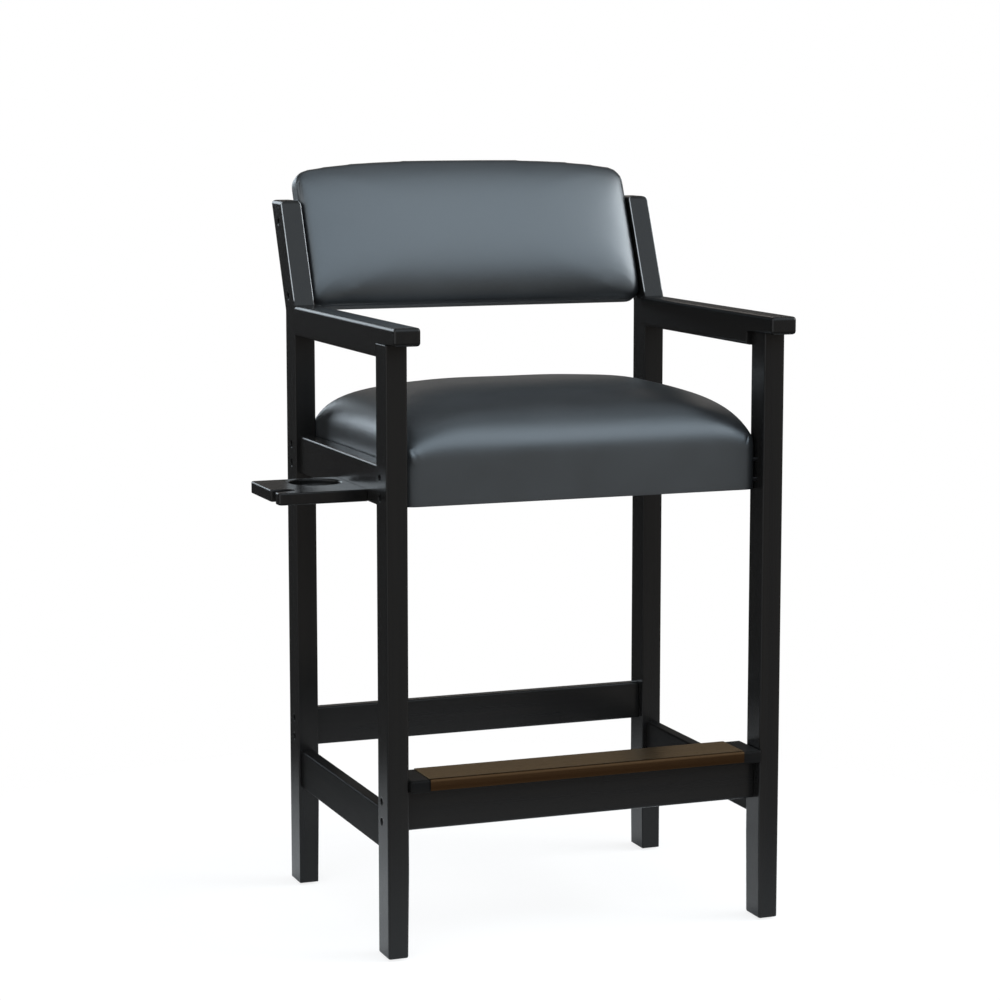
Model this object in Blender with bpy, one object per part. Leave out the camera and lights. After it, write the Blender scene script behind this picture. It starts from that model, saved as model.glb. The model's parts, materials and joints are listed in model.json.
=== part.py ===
"""Billiard spectator chair: a tall fixed armchair with a foot rest and a cup and cue holder.

Two glued side frames (legs, arm, seat rail and side stretcher, joined by stub tenons) are
screwed to four cross pieces: the upholstered seat, the backrest and two cross stretchers.
Lengths are in metres. The front faces -Y, +Z is up, and left means -X, as seen from the front.
"""

import math

import bmesh
import bpy
from mathutils import Vector

# Fits shared by all pieces
FIT = 0.0003            # gap between pieces that touch
OVERCUT = 0.004         # how far a cutter runs past the face it opens

# Side frames: legs
WIDTH = 0.635           # across the outer faces of the legs
DEPTH = 0.495           # front of the front legs to the back of the back legs
LEG_W = 0.033
LEG_D = 0.048
LEG_EASE = 0.003
FOOT_TAPER = 0.002      # the inner face of a foot draws in by this much
FOOT_TAPER_TOP = 0.13
POST_TOP = 1.100        # top of the raked back posts
POST_RAKE = math.radians(23.5)
POST_TOP_EASE = 0.006

# Side frames: arms
ARM_TOP = 0.938
ARM_THICK = 0.048       # between the legs
ARM_NOSE_THICK = 0.027  # where the arm lies on the front leg
ARM_W = 0.0405
ARM_NOSE = 0.039        # how far the nose stands in front of the leg
ARM_EASE = 0.005

# Side frames: rails and stretchers
SEAT_BOTTOM = 0.672
SEAT_RAIL_H = 0.060
SEAT_RAIL_INSET = 0.006     # outer face behind the outer face of the legs
SIDE_STRETCHER_BOTTOM = 0.161
SIDE_STRETCHER_INSET = 0.005
SIDE_STRETCHER_T = 0.020
STRETCHER_H = 0.061
RAIL_EASE = 0.0025

# Cross stretchers
FRONT_STRETCHER_BOTTOM = 0.191
FRONT_STRETCHER_SETBACK = 0.021     # behind the front of the front legs
BACK_STRETCHER_BOTTOM = 0.227
BACK_STRETCHER_SETBACK = 0.015      # behind the front of the back legs
CROSS_T = 0.018

# Foot rest
FOOT_BOARD_T = 0.019
FOOT_BOARD_D = 0.077
FOOT_BOARD_REACH = 0.007    # in front of the legs
FOOT_BOARD_EASE = 0.003
KICK_PLATE_T = 0.0012
KICK_PLATE_L = 0.508
FOOT_SCREW_SPREAD = 0.320
FOOT_SCREW_L = 0.042

# Seat
SEAT_SETBACK = 0.020        # front of the cover behind the front of the legs
SEAT_BACK_SETBACK = 0.012   # back of the cover in front of the back of the legs
SEAT_SIDE_GAP = 0.0005
SEAT_CROWN = 0.827
SEAT_FRONT_EDGE = 0.750     # where the front band turns into the crown
SEAT_BACK_EDGE = 0.757
SEAT_SIDE_RISE = 0.038      # the edge is this much higher half way along a side
SEAT_CORNER_R = 0.018
SEAT_PULL_IN = 0.003
COVER_T = 0.002
DUST_COVER_T = 0.001
SEAT_FRAME_H = 0.058
SEAT_SIDE_FRAME_T = 0.018
SEAT_DECK_T = 0.012
CORNER_BLOCK_LEG = 0.070
CORNER_BLOCK_H = 0.030

# Backrest, in its own tilted frame: u across, v up the rake, w out of the front of the posts
BACK_BOTTOM_V = 0.0045
BACK_TOP_V = 0.2505
BACK_ARCH = 0.019           # the top edge falls this much towards its ends
BACK_ARCH_POWER = 3.0
BACK_CORNER_R = 0.022
BACK_PULL_IN = 0.003
BACK_CROWN_W = 0.014
BACK_EDGE_W = -0.016
BACK_REAR_W = -0.038
BACK_PANEL_T = 0.004
BACK_CORE_T = 0.015
BACK_CORE_TOP_DROP = 0.012  # top of the core below the top of the cover

# Cushion surface
CORNER_STEPS = 3
SIDE_STEPS = 4
DOME_STEPS = 6
DOME_PLAN_POWER = 2.8
DOME_RISE_POWER = 1.7

# Cup and cue holder on the left seat rail
HOLDER_REACH = 0.1355
HOLDER_D = 0.152
HOLDER_T = 0.018
HOLDER_FRONT = 0.105        # front edge behind the front of the front legs
HOLDER_CORNER_R = 0.006
HOLDER_EASE = 0.0018
CUP_R = 0.039
CUP_DEPTH = 0.011
CUP_RIM_R = 0.0025
CUP_FROM_RAIL = 0.0475
CUP_FROM_BACK = 0.046
CUP_SIDES = 32
CUE_NOTCH_W = 0.023
CUE_NOTCH_DEPTH = 0.035
CUE_NOTCH_FROM_FRONT = 0.032
HOLDER_SCREW_L = 0.046
HOLDER_SCREW_RISE = 0.005   # screw axis above the underside
HOLDER_SCREW_MARGIN = 0.008

# Tenons of the side frames
TENON_W = 0.011
TENON_BOLT_WALL = 0.0005    # wood left between a mortise and the screw hole that crosses its leg
TENON_SHOULDER = 0.010      # wood left above and below a tenon
TENON_END_GAP = 0.0005
ARM_TENON_L = 0.014

# Connector screws through the legs, small screws and glides
BOLT_R = 0.0034
BOLT_L = 0.070
BOLT_HEAD_R = 0.005
BOLT_HEAD_H = 0.004
BOLT_SOCKET_R = 0.0024
BOLT_SOCKET_D = 0.0025
BOLT_SEAT_DEPTH = 0.008     # counterbore depth in the leg
COUNTERBORE_R = 0.0058
BOLT_SPACING = 0.030
SCREW_R = 0.002
SCREW_HEAD_R = 0.004
SCREW_HEAD_H = 0.0025
GLIDE_R = 0.009
GLIDE_H = 0.003
GLIDE_NAIL_R = 0.0012
GLIDE_NAIL_L = 0.014

# Fineness of round pieces
ROUND_SIDES = 12
SMALL_SIDES = 8
EASE_STEPS = 2
ROUND_STEPS = 3
SMOOTH_ANGLE = math.radians(35)

# Places that several pieces share
HALF = WIDTH / 2
INNER = HALF - LEG_W
BACK_LEG_Y = DEPTH - LEG_D
ARM_NOSE_BOTTOM = ARM_TOP - ARM_NOSE_THICK
ARM_BOTTOM = ARM_TOP - ARM_THICK
SEAT_RAIL_OUTER = HALF - SEAT_RAIL_INSET
SEAT_FRONT_Y = SEAT_SETBACK
SEAT_BACK_Y = DEPTH - SEAT_BACK_SETBACK
SEAT_HALF = INNER - SEAT_SIDE_GAP
SEAT_LINING = COVER_T + FIT
SEAT_FRAME_BOTTOM = SEAT_BOTTOM + DUST_COVER_T + 2 * FIT
SEAT_FRAME_TOP = SEAT_FRAME_BOTTOM + SEAT_FRAME_H
SEAT_DECK_BOTTOM = SEAT_FRAME_TOP + FIT
SEAT_FOAM_BOTTOM = SEAT_DECK_BOTTOM + SEAT_DECK_T + FIT
SEAT_FRONT_FRAME_Y = SEAT_FRONT_Y + SEAT_LINING + CROSS_T / 2
SEAT_BACK_FRAME_Y = SEAT_BACK_Y - SEAT_LINING - CROSS_T / 2
SEAT_BOLT_Z = SEAT_BOTTOM + SEAT_RAIL_H / 2
FRONT_STRETCHER_Y = FRONT_STRETCHER_SETBACK + CROSS_T / 2
FRONT_STRETCHER_TOP = FRONT_STRETCHER_BOTTOM + STRETCHER_H
BACK_STRETCHER_Y = BACK_LEG_Y + BACK_STRETCHER_SETBACK + CROSS_T / 2
FOOT_BOARD_BOTTOM = FRONT_STRETCHER_TOP + FIT
FOOT_BOARD_TOP = FOOT_BOARD_BOTTOM + FOOT_BOARD_T
BACK_PANEL_FRONT_W = BACK_REAR_W + BACK_PANEL_T
BACK_CORE_REAR_W = BACK_PANEL_FRONT_W + FIT
BACK_CORE_FRONT_W = BACK_CORE_REAR_W + BACK_CORE_T
BACK_CORE_W = (BACK_CORE_REAR_W + BACK_CORE_FRONT_W) / 2
BACK_FOAM_REAR_W = BACK_CORE_FRONT_W + FIT
BACK_BOLT_V = (0.026, 0.152)
FRONT_LEG_ROOM = LEG_D - max(SEAT_FRONT_FRAME_Y, FRONT_STRETCHER_Y)
BACK_LEG_ROOM = min(SEAT_BACK_FRAME_Y, BACK_STRETCHER_Y) - BACK_LEG_Y
TENON_L = min(FRONT_LEG_ROOM, BACK_LEG_ROOM) - BOLT_R - FIT - TENON_BOLT_WALL - TENON_END_GAP

# Colour, roughness and metallic value of each finish
LACQUER = ((0.012, 0.012, 0.013), 0.28, 0.0)
LEATHER = ((0.060, 0.064, 0.070), 0.42, 0.0)
BRONZE = ((0.070, 0.042, 0.022), 0.38, 0.9)
STEEL = ((0.16, 0.16, 0.17), 0.35, 1.0)
RAW_WOOD = ((0.46, 0.33, 0.20), 0.70, 0.0)
FOAM = ((0.78, 0.74, 0.58), 0.90, 0.0)
CAMBRIC = ((0.015, 0.015, 0.016), 0.95, 0.0)
NYLON = ((0.03, 0.03, 0.03), 0.50, 0.0)

SIDES = {"left": -1, "right": 1}
LEVELS = ("lower", "upper")


def clear_scene():
    for obj in list(bpy.data.objects):
        bpy.data.objects.remove(obj, do_unlink=True)


def new_empty(name, parent=None):
    empty = bpy.data.objects.new(name, None)
    bpy.context.scene.collection.objects.link(empty)
    empty.parent = parent
    return empty


def new_material(name, finish):
    colour, roughness, metallic = finish
    material = bpy.data.materials.new(name)
    material.use_nodes = True
    shader = material.node_tree.nodes["Principled BSDF"]
    shader.inputs["Base Color"].default_value = (*colour, 1.0)
    shader.inputs["Roughness"].default_value = roughness
    shader.inputs["Metallic"].default_value = metallic
    return material


def link_mesh(name, bm):
    """Turn a bmesh of closed bodies into a linked object with its faces pointing out."""
    bmesh.ops.recalc_face_normals(bm, faces=bm.faces)
    mesh = bpy.data.meshes.new(name)
    bm.to_mesh(mesh)
    bm.free()
    obj = bpy.data.objects.new(name, mesh)
    bpy.context.scene.collection.objects.link(obj)
    return obj


def combine(obj, bodies, operation):
    """Join bodies to a piece, or take them out of it, and remove the helper."""
    helper = link_mesh(obj.name + "_helper", bodies)
    boolean = obj.modifiers.new(operation, "BOOLEAN")
    boolean.operation = operation
    boolean.solver = "EXACT"
    boolean.object = helper
    evaluated = obj.evaluated_get(bpy.context.evaluated_depsgraph_get())
    before = obj.data
    obj.data = bpy.data.meshes.new_from_object(evaluated)
    obj.modifiers.clear()
    spent = (before, helper.data)
    bpy.data.objects.remove(helper)
    for mesh in spent:
        bpy.data.meshes.remove(mesh)


def make(name, bm, finish, parent, holes=None, tenons=None):
    """One named piece with its own material, with tenons added and holes taken out."""
    obj = link_mesh(name, bm)
    if tenons is not None:
        combine(obj, tenons, "UNION")
    if holes is not None:
        combine(obj, holes, "DIFFERENCE")
    obj.data.name = name
    obj.data.materials.clear()
    obj.data.materials.append(new_material(name, finish))
    obj.data.shade_smooth()
    obj.data.set_sharp_from_angle(angle=SMOOTH_ANGLE)
    obj.parent = parent
    return obj


def add_loft(bm, sections):
    """Skin a row of sections with equal corner counts and close both ends."""
    rows = [[bm.verts.new(point) for point in section] for section in sections]
    count = len(rows[0])
    for low, high in zip(rows, rows[1:]):
        for i in range(count):
            j = (i + 1) % count
            bm.faces.new((low[i], low[j], high[j], high[i]))
    bm.faces.new(rows[0][::-1])
    bm.faces.new(rows[-1])


def add_box(bm, low, high):
    corners = ((low[0], low[1]), (high[0], low[1]), (high[0], high[1]), (low[0], high[1]))
    add_loft(bm, [[(x, y, z) for x, y in corners] for z in (low[2], high[2])])


def add_turned(bm, start, axis, profile, sides=ROUND_SIDES):
    """Turn (distance along the axis, radius) steps round an axis and close both ends."""
    axis = Vector(axis).normalized()
    across = axis.orthogonal().normalized()
    up = axis.cross(across)
    sections = []
    for distance, radius in profile:
        centre = Vector(start) + axis * distance
        turns = [2 * math.pi * i / sides for i in range(sides)]
        sections.append([centre + radius * (math.cos(a) * across + math.sin(a) * up) for a in turns])
    add_loft(bm, sections)


def add_rod(bm, start, end, radius, sides=SMALL_SIDES):
    span = Vector(end) - Vector(start)
    add_turned(bm, start, span, [(0, radius), (span.length, radius)], sides)


def round_edges(bm, edges, radius, steps):
    bmesh.ops.bevel(bm, geom=edges, offset=radius, segments=steps, profile=0.5,
                    affect="EDGES", clamp_overlap=True)


def ease(bm, radius, steps=EASE_STEPS, keep_sharp=None):
    """Round every sharp edge, except those for which keep_sharp says yes."""
    bm.normal_update()
    edges = [e for e in bm.edges if e.calc_face_angle(0) > SMOOTH_ANGLE / 2]
    if keep_sharp:
        edges = [e for e in edges if not keep_sharp(e)]
    round_edges(bm, edges, radius, steps)


def lies_on(edge, axis, value):
    """True when both ends of an edge have the same given coordinate."""
    return all(abs(vert.co[axis] - value) < FIT / 2 for vert in edge.verts)


def pair(middle, spacing):
    return (middle - spacing / 2, middle + spacing / 2)


def arc(centre, radius, start_deg, end_deg, steps):
    """Points on an arc in a plane, from one angle to the other."""
    angles = [math.radians(start_deg + (end_deg - start_deg) * i / steps) for i in range(steps + 1)]
    return [(centre[0] + radius * math.cos(a), centre[1] + radius * math.sin(a)) for a in angles]


def raked(v, w):
    """Place of a backrest point (v, w) in the side view of the chair, as (y, z)."""
    y = BACK_LEG_Y + v * math.sin(POST_RAKE) - w * math.cos(POST_RAKE)
    z = ARM_TOP + v * math.cos(POST_RAKE) + w * math.sin(POST_RAKE)
    return y, z


# Screwed joints

def bolt_places():
    """(y, z) of the lower and upper connector screw of each cross piece, alike on both sides."""
    front_z = pair(FRONT_STRETCHER_BOTTOM + STRETCHER_H / 2, BOLT_SPACING)
    back_z = pair(BACK_STRETCHER_BOTTOM + STRETCHER_H / 2, BOLT_SPACING)
    seat_z = pair(SEAT_BOLT_Z, BOLT_SPACING)
    return {
        "front_stretcher": [(FRONT_STRETCHER_Y, z) for z in front_z],
        "back_stretcher": [(BACK_STRETCHER_Y, z) for z in back_z],
        "seat_front": [(SEAT_FRONT_FRAME_Y, z) for z in seat_z],
        "seat_back": [(SEAT_BACK_FRAME_Y, z) for z in seat_z],
        "backrest": [raked(v, BACK_CORE_W) for v in BACK_BOLT_V],
    }


BOLTS = bolt_places()


def add_bolt(bm, side, place):
    top = BOLT_SEAT_DEPTH - FIT - BOLT_HEAD_H
    profile = [
        (top + BOLT_SOCKET_D, BOLT_SOCKET_R), (top, BOLT_SOCKET_R), (top, BOLT_HEAD_R),
        (top + BOLT_HEAD_H, BOLT_HEAD_R), (top + BOLT_HEAD_H, BOLT_R),
        (BOLT_L - 2 * BOLT_R, BOLT_R), (BOLT_L, BOLT_R / 3),
    ]
    add_turned(bm, (side * HALF, *place), (-side, 0, 0), profile)


def add_leg_bolt_hole(bm, side, place):
    """Counterbored hole right through a leg."""
    profile = [
        (-OVERCUT, COUNTERBORE_R), (BOLT_SEAT_DEPTH, COUNTERBORE_R),
        (BOLT_SEAT_DEPTH, BOLT_R + FIT), (LEG_W + OVERCUT, BOLT_R + FIT),
    ]
    add_turned(bm, (side * HALF, *place), (-side, 0, 0), profile)


def add_end_bolt_holes(bm, places):
    """Holes in both ends of a cross piece, for the shanks of its connector screws."""
    profile = [(LEG_W - OVERCUT, BOLT_R + FIT), (BOLT_L + FIT, BOLT_R + FIT)]
    for side in SIDES.values():
        for place in places:
            add_turned(bm, (side * HALF, *place), (-side, 0, 0), profile)


def end_bolt_holes(*joints):
    holes = bmesh.new()
    for joint in joints:
        add_end_bolt_holes(holes, BOLTS[joint])
    return holes


# Glued tenons of the side frames

def add_rail_tenons(bm, side, x, bottom, height, grow=0.0, end_gap=0.0):
    """Stub tenons on both ends of a rail, or the mortises for them when grown by a fit."""
    half = TENON_W / 2 + grow
    low, high = bottom + TENON_SHOULDER - grow, bottom + height - TENON_SHOULDER + grow
    ends = ((LEG_D - TENON_L - end_gap, LEG_D + OVERCUT),
            (BACK_LEG_Y - OVERCUT, BACK_LEG_Y + TENON_L + end_gap))
    for near, far in ends:
        add_box(bm, (side * x - half, near, low), (side * x + half, far, high))


SEAT_RAIL_TENON = ((SEAT_RAIL_OUTER + INNER) / 2, SEAT_BOTTOM, SEAT_RAIL_H)
SIDE_STRETCHER_TENON = (HALF - SIDE_STRETCHER_INSET - SIDE_STRETCHER_T / 2,
                        SIDE_STRETCHER_BOTTOM, STRETCHER_H)


def add_leg_tenon(bm, side, grow=0.0, end_gap=0.0):
    """Upright tenon on a front leg, for the nose of the arm."""
    x, half = side * (HALF - LEG_W / 2), TENON_W / 2 + grow
    low = (x - half, TENON_SHOULDER - grow, ARM_NOSE_BOTTOM - OVERCUT)
    add_box(bm, low, (x + half, LEG_D - TENON_SHOULDER + grow, ARM_NOSE_BOTTOM + ARM_TENON_L + end_gap))


def add_arm_tenon(bm, side, grow=0.0, end_gap=0.0):
    """Level tenon on the back end of an arm, for the post."""
    x, half = side * (HALF - LEG_W / 2), TENON_W / 2 + grow
    low = (x - half, BACK_LEG_Y - OVERCUT, ARM_BOTTOM + TENON_SHOULDER - grow)
    high = (x + half, BACK_LEG_Y + TENON_L + end_gap, ARM_TOP - TENON_SHOULDER + grow)
    add_box(bm, low, high)


def add_leg_mortises(bm, side):
    for tenon in (SEAT_RAIL_TENON, SIDE_STRETCHER_TENON):
        add_rail_tenons(bm, side, *tenon, FIT, TENON_END_GAP)


# Side frame pieces

def leg_section(side, front, back, draw_in=0.0):
    """Four corners of a leg at a level: front and back are (y, z)."""
    outer, inner = side * HALF, side * (INNER + draw_in)
    return [(outer, *front), (inner, *front), (inner, *back), (outer, *back)]


def level_section(side, y, z, draw_in=0.0):
    return leg_section(side, (y, z), (y + LEG_D, z), draw_in)


def add_glide_hole(bm, side, y):
    start = (side * (HALF - LEG_W / 2), y + LEG_D / 2, GLIDE_H - OVERCUT)
    end = (start[0], start[1], GLIDE_H + GLIDE_NAIL_L + FIT)
    add_rod(bm, start, end, GLIDE_NAIL_R + FIT)


def build_front_leg(name, side, parent):
    bm = bmesh.new()
    levels = ((GLIDE_H + FIT, FOOT_TAPER), (FOOT_TAPER_TOP, 0), (ARM_NOSE_BOTTOM - FIT, 0))
    add_loft(bm, [level_section(side, 0, z, draw_in) for z, draw_in in levels])
    ease(bm, LEG_EASE, keep_sharp=lambda edge: lies_on(edge, 2, ARM_NOSE_BOTTOM - FIT))
    holes = bmesh.new()
    for joint in ("front_stretcher", "seat_front"):
        for place in BOLTS[joint]:
            add_leg_bolt_hole(holes, side, place)
    add_leg_mortises(holes, side)
    add_glide_hole(holes, side, 0)
    tenon = bmesh.new()
    add_leg_tenon(tenon, side)
    make(name, bm, LACQUER, parent, holes, tenon)


def build_back_leg(name, side, parent):
    """One board: upright to the arm, then raked back at an equal depth to its top."""
    bend_back = (DEPTH, ARM_TOP - LEG_D * math.tan(POST_RAKE / 2))
    rise = POST_TOP - ARM_TOP
    top_front = BACK_LEG_Y + rise * math.tan(POST_RAKE)
    top_back = top_front + LEG_D / math.cos(POST_RAKE)
    bm = bmesh.new()
    add_loft(bm, [
        level_section(side, BACK_LEG_Y, GLIDE_H + FIT, FOOT_TAPER),
        level_section(side, BACK_LEG_Y, FOOT_TAPER_TOP),
        leg_section(side, (BACK_LEG_Y, ARM_TOP), bend_back),
        leg_section(side, (top_front, POST_TOP), (top_back, POST_TOP)),
    ])
    top_edges = [e for e in bm.edges if lies_on(e, 2, POST_TOP)]
    round_edges(bm, top_edges, POST_TOP_EASE, ROUND_STEPS)
    ease(bm, LEG_EASE)
    holes = bmesh.new()
    for joint in ("back_stretcher", "seat_back", "backrest"):
        for place in BOLTS[joint]:
            add_leg_bolt_hole(holes, side, place)
    add_leg_mortises(holes, side)
    add_arm_tenon(holes, side, FIT, TENON_END_GAP)
    add_glide_hole(holes, side, BACK_LEG_Y)
    make(name, bm, LACQUER, parent, holes)


def build_arm(name, side, parent):
    """One shaped board: its nose lies on the front leg, its deep part runs to the post."""
    shoulder = LEG_D + FIT
    tail = BACK_LEG_Y - FIT
    outline = [
        (-ARM_NOSE, ARM_NOSE_BOTTOM), (shoulder, ARM_NOSE_BOTTOM), (shoulder, ARM_BOTTOM),
        (tail, ARM_BOTTOM), (tail, ARM_TOP), (-ARM_NOSE, ARM_TOP),
    ]
    bm = bmesh.new()
    add_loft(bm, [[(side * x, y, z) for y, z in outline] for x in (HALF - ARM_W, HALF)])
    ease(bm, ARM_EASE, ROUND_STEPS,
         keep_sharp=lambda edge: lies_on(edge, 1, shoulder) or lies_on(edge, 1, tail))
    holes, tenon = bmesh.new(), bmesh.new()
    add_leg_tenon(holes, side, FIT, TENON_END_GAP)
    add_arm_tenon(tenon, side)
    make(name, bm, LACQUER, parent, holes, tenon)


def build_seat_rail(name, side, parent, has_holder):
    bm = bmesh.new()
    xs = sorted((side * INNER, side * SEAT_RAIL_OUTER))
    front, back = LEG_D + FIT, BACK_LEG_Y - FIT
    add_box(bm, (xs[0], front, SEAT_BOTTOM), (xs[1], back, SEAT_BOTTOM + SEAT_RAIL_H))
    ease(bm, RAIL_EASE, keep_sharp=lambda e: lies_on(e, 1, front) or lies_on(e, 1, back))
    tenons = bmesh.new()
    add_rail_tenons(tenons, side, *SEAT_RAIL_TENON)
    make(name, bm, LACQUER, parent, holder_screw_holes() if has_holder else None, tenons)


def build_side_stretcher(name, side, parent):
    bm = bmesh.new()
    outer = HALF - SIDE_STRETCHER_INSET
    xs = sorted((side * (outer - SIDE_STRETCHER_T), side * outer))
    front, back = LEG_D + FIT, BACK_LEG_Y - FIT
    top = SIDE_STRETCHER_BOTTOM + STRETCHER_H
    add_box(bm, (xs[0], front, SIDE_STRETCHER_BOTTOM), (xs[1], back, top))
    ease(bm, RAIL_EASE, keep_sharp=lambda e: lies_on(e, 1, front) or lies_on(e, 1, back))
    tenons = bmesh.new()
    add_rail_tenons(tenons, side, *SIDE_STRETCHER_TENON)
    make(name, bm, LACQUER, parent, tenons=tenons)


def build_glide(name, side, y, parent):
    """Nail-on glide: a round pad under the foot with its nail in the leg."""
    bm = bmesh.new()
    foot = (side * (HALF - LEG_W / 2), y + LEG_D / 2, 0)
    profile = [(0, GLIDE_R - GLIDE_H / 2), (GLIDE_H / 2, GLIDE_R), (GLIDE_H, GLIDE_R),
               (GLIDE_H, GLIDE_NAIL_R), (GLIDE_H + GLIDE_NAIL_L, GLIDE_NAIL_R)]
    add_turned(bm, foot, (0, 0, 1), profile)
    make(name, bm, NYLON, parent)


def build_side_frames(chair):
    for word, side in SIDES.items():
        build_front_leg("front_leg_" + word, side, chair)
        build_back_leg("back_leg_" + word, side, chair)
        build_arm("arm_" + word, side, chair)
        build_seat_rail("seat_rail_" + word, side, chair, has_holder=side < 0)
        build_side_stretcher("side_stretcher_" + word, side, chair)
        build_glide("glide_front_" + word, side, 0, chair)
        build_glide("glide_back_" + word, side, BACK_LEG_Y, chair)


# Cross stretchers and foot rest

def add_cross_bar(bm, y, bottom):
    reach = INNER - FIT
    low = (-reach, y - CROSS_T / 2, bottom)
    add_box(bm, low, (reach, y + CROSS_T / 2, bottom + STRETCHER_H))
    ease(bm, RAIL_EASE, keep_sharp=lambda e: lies_on(e, 0, reach) or lies_on(e, 0, -reach))


def foot_screw_places():
    """x of the screws that hold the foot board down on the front stretcher."""
    return {word: side * FOOT_SCREW_SPREAD / 2 for word, side in SIDES.items()}


def foot_screw_profile(grow=0.0):
    """Countersunk screw, from the top of its head down."""
    return [(-grow, SCREW_HEAD_R + grow), (SCREW_HEAD_H, SCREW_R + grow),
            (FOOT_SCREW_L + grow, SCREW_R + grow)]


def add_foot_screw_holes(bm):
    for x in foot_screw_places().values():
        head = (x, FRONT_STRETCHER_Y, FOOT_BOARD_TOP)
        add_turned(bm, head, (0, 0, -1), foot_screw_profile(FIT), SMALL_SIDES)


def build_stretchers(chair):
    bm = bmesh.new()
    add_cross_bar(bm, FRONT_STRETCHER_Y, FRONT_STRETCHER_BOTTOM)
    holes = end_bolt_holes("front_stretcher")
    add_foot_screw_holes(holes)
    make("front_stretcher", bm, LACQUER, chair, holes)

    bm = bmesh.new()
    add_cross_bar(bm, BACK_STRETCHER_Y, BACK_STRETCHER_BOTTOM)
    make("back_stretcher", bm, LACQUER, chair, end_bolt_holes("back_stretcher"))


def build_foot_rest(chair):
    reach = INNER - FIT
    back = FOOT_BOARD_D - FOOT_BOARD_REACH
    bm = bmesh.new()
    add_box(bm, (-reach, -FOOT_BOARD_REACH, FOOT_BOARD_BOTTOM), (reach, back, FOOT_BOARD_TOP))
    ease(bm, FOOT_BOARD_EASE)
    holes = bmesh.new()
    add_foot_screw_holes(holes)
    make("foot_board", bm, LACQUER, chair, holes)
    for word, x in foot_screw_places().items():
        bm = bmesh.new()
        head = (x, FRONT_STRETCHER_Y, FOOT_BOARD_TOP)
        add_turned(bm, head, (0, 0, -1), foot_screw_profile(), SMALL_SIDES)
        make("foot_board_screw_" + word, bm, STEEL, chair)

    # Bent plate: down the front and over the top of the board, round its eased edge
    bend = (-FOOT_BOARD_REACH + FOOT_BOARD_EASE, FOOT_BOARD_TOP - FOOT_BOARD_EASE)
    inner_r = FOOT_BOARD_EASE + FIT
    outer_r = inner_r + KICK_PLATE_T
    edge_back = back - FOOT_BOARD_EASE
    low_edge = FOOT_BOARD_BOTTOM + FOOT_BOARD_EASE
    outline = [(bend[0] - inner_r, low_edge)]
    outline += arc(bend, inner_r, 180, 90, ROUND_STEPS)
    outline += [(edge_back, bend[1] + inner_r), (edge_back, bend[1] + outer_r)]
    outline += arc(bend, outer_r, 90, 180, ROUND_STEPS)
    outline += [(bend[0] - outer_r, low_edge)]
    bm = bmesh.new()
    ends = (-KICK_PLATE_L / 2, KICK_PLATE_L / 2)
    add_loft(bm, [[(x, y, z) for y, z in outline] for x in ends])
    make("kick_plate", bm, BRONZE, chair)


# Cushion surfaces

def soft_outline(half, low, high, radius, pull_in, arch=0.0):
    """Plan of a cushion: round corners, sides drawn in between them or, at the top, arched."""
    inset = half - radius
    arcs = [
        arc((inset, low + radius), radius, -90, 0, CORNER_STEPS),
        arc((inset, high - radius), radius, 0, 90, CORNER_STEPS),
        arc((-inset, high - radius), radius, 90, 180, CORNER_STEPS),
        arc((-inset, low + radius), radius, 180, 270, CORNER_STEPS),
    ]
    inward = [(-1, 0), (0, 0) if arch else (0, -1), (1, 0), (0, 1)]
    points = []
    for i, corner in enumerate(arcs):
        points += corner
        start, end = Vector(corner[-1]), Vector(arcs[(i + 1) % 4][0])
        for step in range(1, SIDE_STEPS):
            t = step / SIDE_STEPS
            drawn = Vector(inward[i]) * pull_in * math.sin(math.pi * t)
            points.append(tuple(start.lerp(end, t) + drawn))
    shaped = []
    for x, y in points:
        fall = arch * (abs(x) / half) ** BACK_ARCH_POWER
        shaped.append((x, y - fall * (y - low) / (high - low)))
    return shaped


def at_height(outline, height):
    return [(x, y, height) for x, y in outline]


def dome(outline, middle, crown, edge_height):
    """Rings that rise from an outline to a crown, the last one left to a single point."""
    rings = []
    for step in range(DOME_STEPS):
        angle = math.pi / 2 * step / DOME_STEPS
        scale = math.cos(angle) ** (2 / DOME_PLAN_POWER)
        rise = math.sin(angle) ** (2 / DOME_RISE_POWER)
        ring = []
        for x, y in outline:
            edge = edge_height(x, y)
            ring.append((scale * x, middle + scale * (y - middle), edge + rise * (crown - edge)))
        rings.append(ring)
    return rings


def add_rings(bm, rings, apex):
    """Skin rings from the open end up to the apex, and give back the open end's corners."""
    rows = [[bm.verts.new(point) for point in ring] for ring in rings]
    count = len(rows[0])
    top = bm.verts.new(apex)
    for low, high in zip(rows, rows[1:]):
        for i in range(count):
            j = (i + 1) % count
            bm.faces.new((low[i], low[j], high[j], high[i]))
    for i in range(count):
        bm.faces.new((rows[-1][i], rows[-1][(i + 1) % count], top))
    return rows[0]


def add_cushion(bm, rings, apex):
    bm.faces.new(add_rings(bm, rings, apex)[::-1])


def add_cover(bm, outside, inside):
    """Thin skin between two cushion surfaces, each given as (rings, apex), open below."""
    outer = add_rings(bm, *outside)
    inner = add_rings(bm, *inside)
    for i in range(len(outer)):
        j = (i + 1) % len(outer)
        bm.faces.new((outer[i], inner[i], inner[j], outer[j]))


# Seat

def seat_edge_height(x, y):
    """Height at which the sides of the seat turn into its crown: low at the front and back."""
    middle = (SEAT_FRONT_Y + SEAT_BACK_Y) / 2
    along = min(abs(y - middle) / (SEAT_BACK_Y - middle), 1.0)
    end = SEAT_FRONT_EDGE if y < middle else SEAT_BACK_EDGE
    side = (SEAT_FRONT_EDGE + SEAT_BACK_EDGE) / 2 + SEAT_SIDE_RISE
    return side + (end - side) * along ** 3


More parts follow.
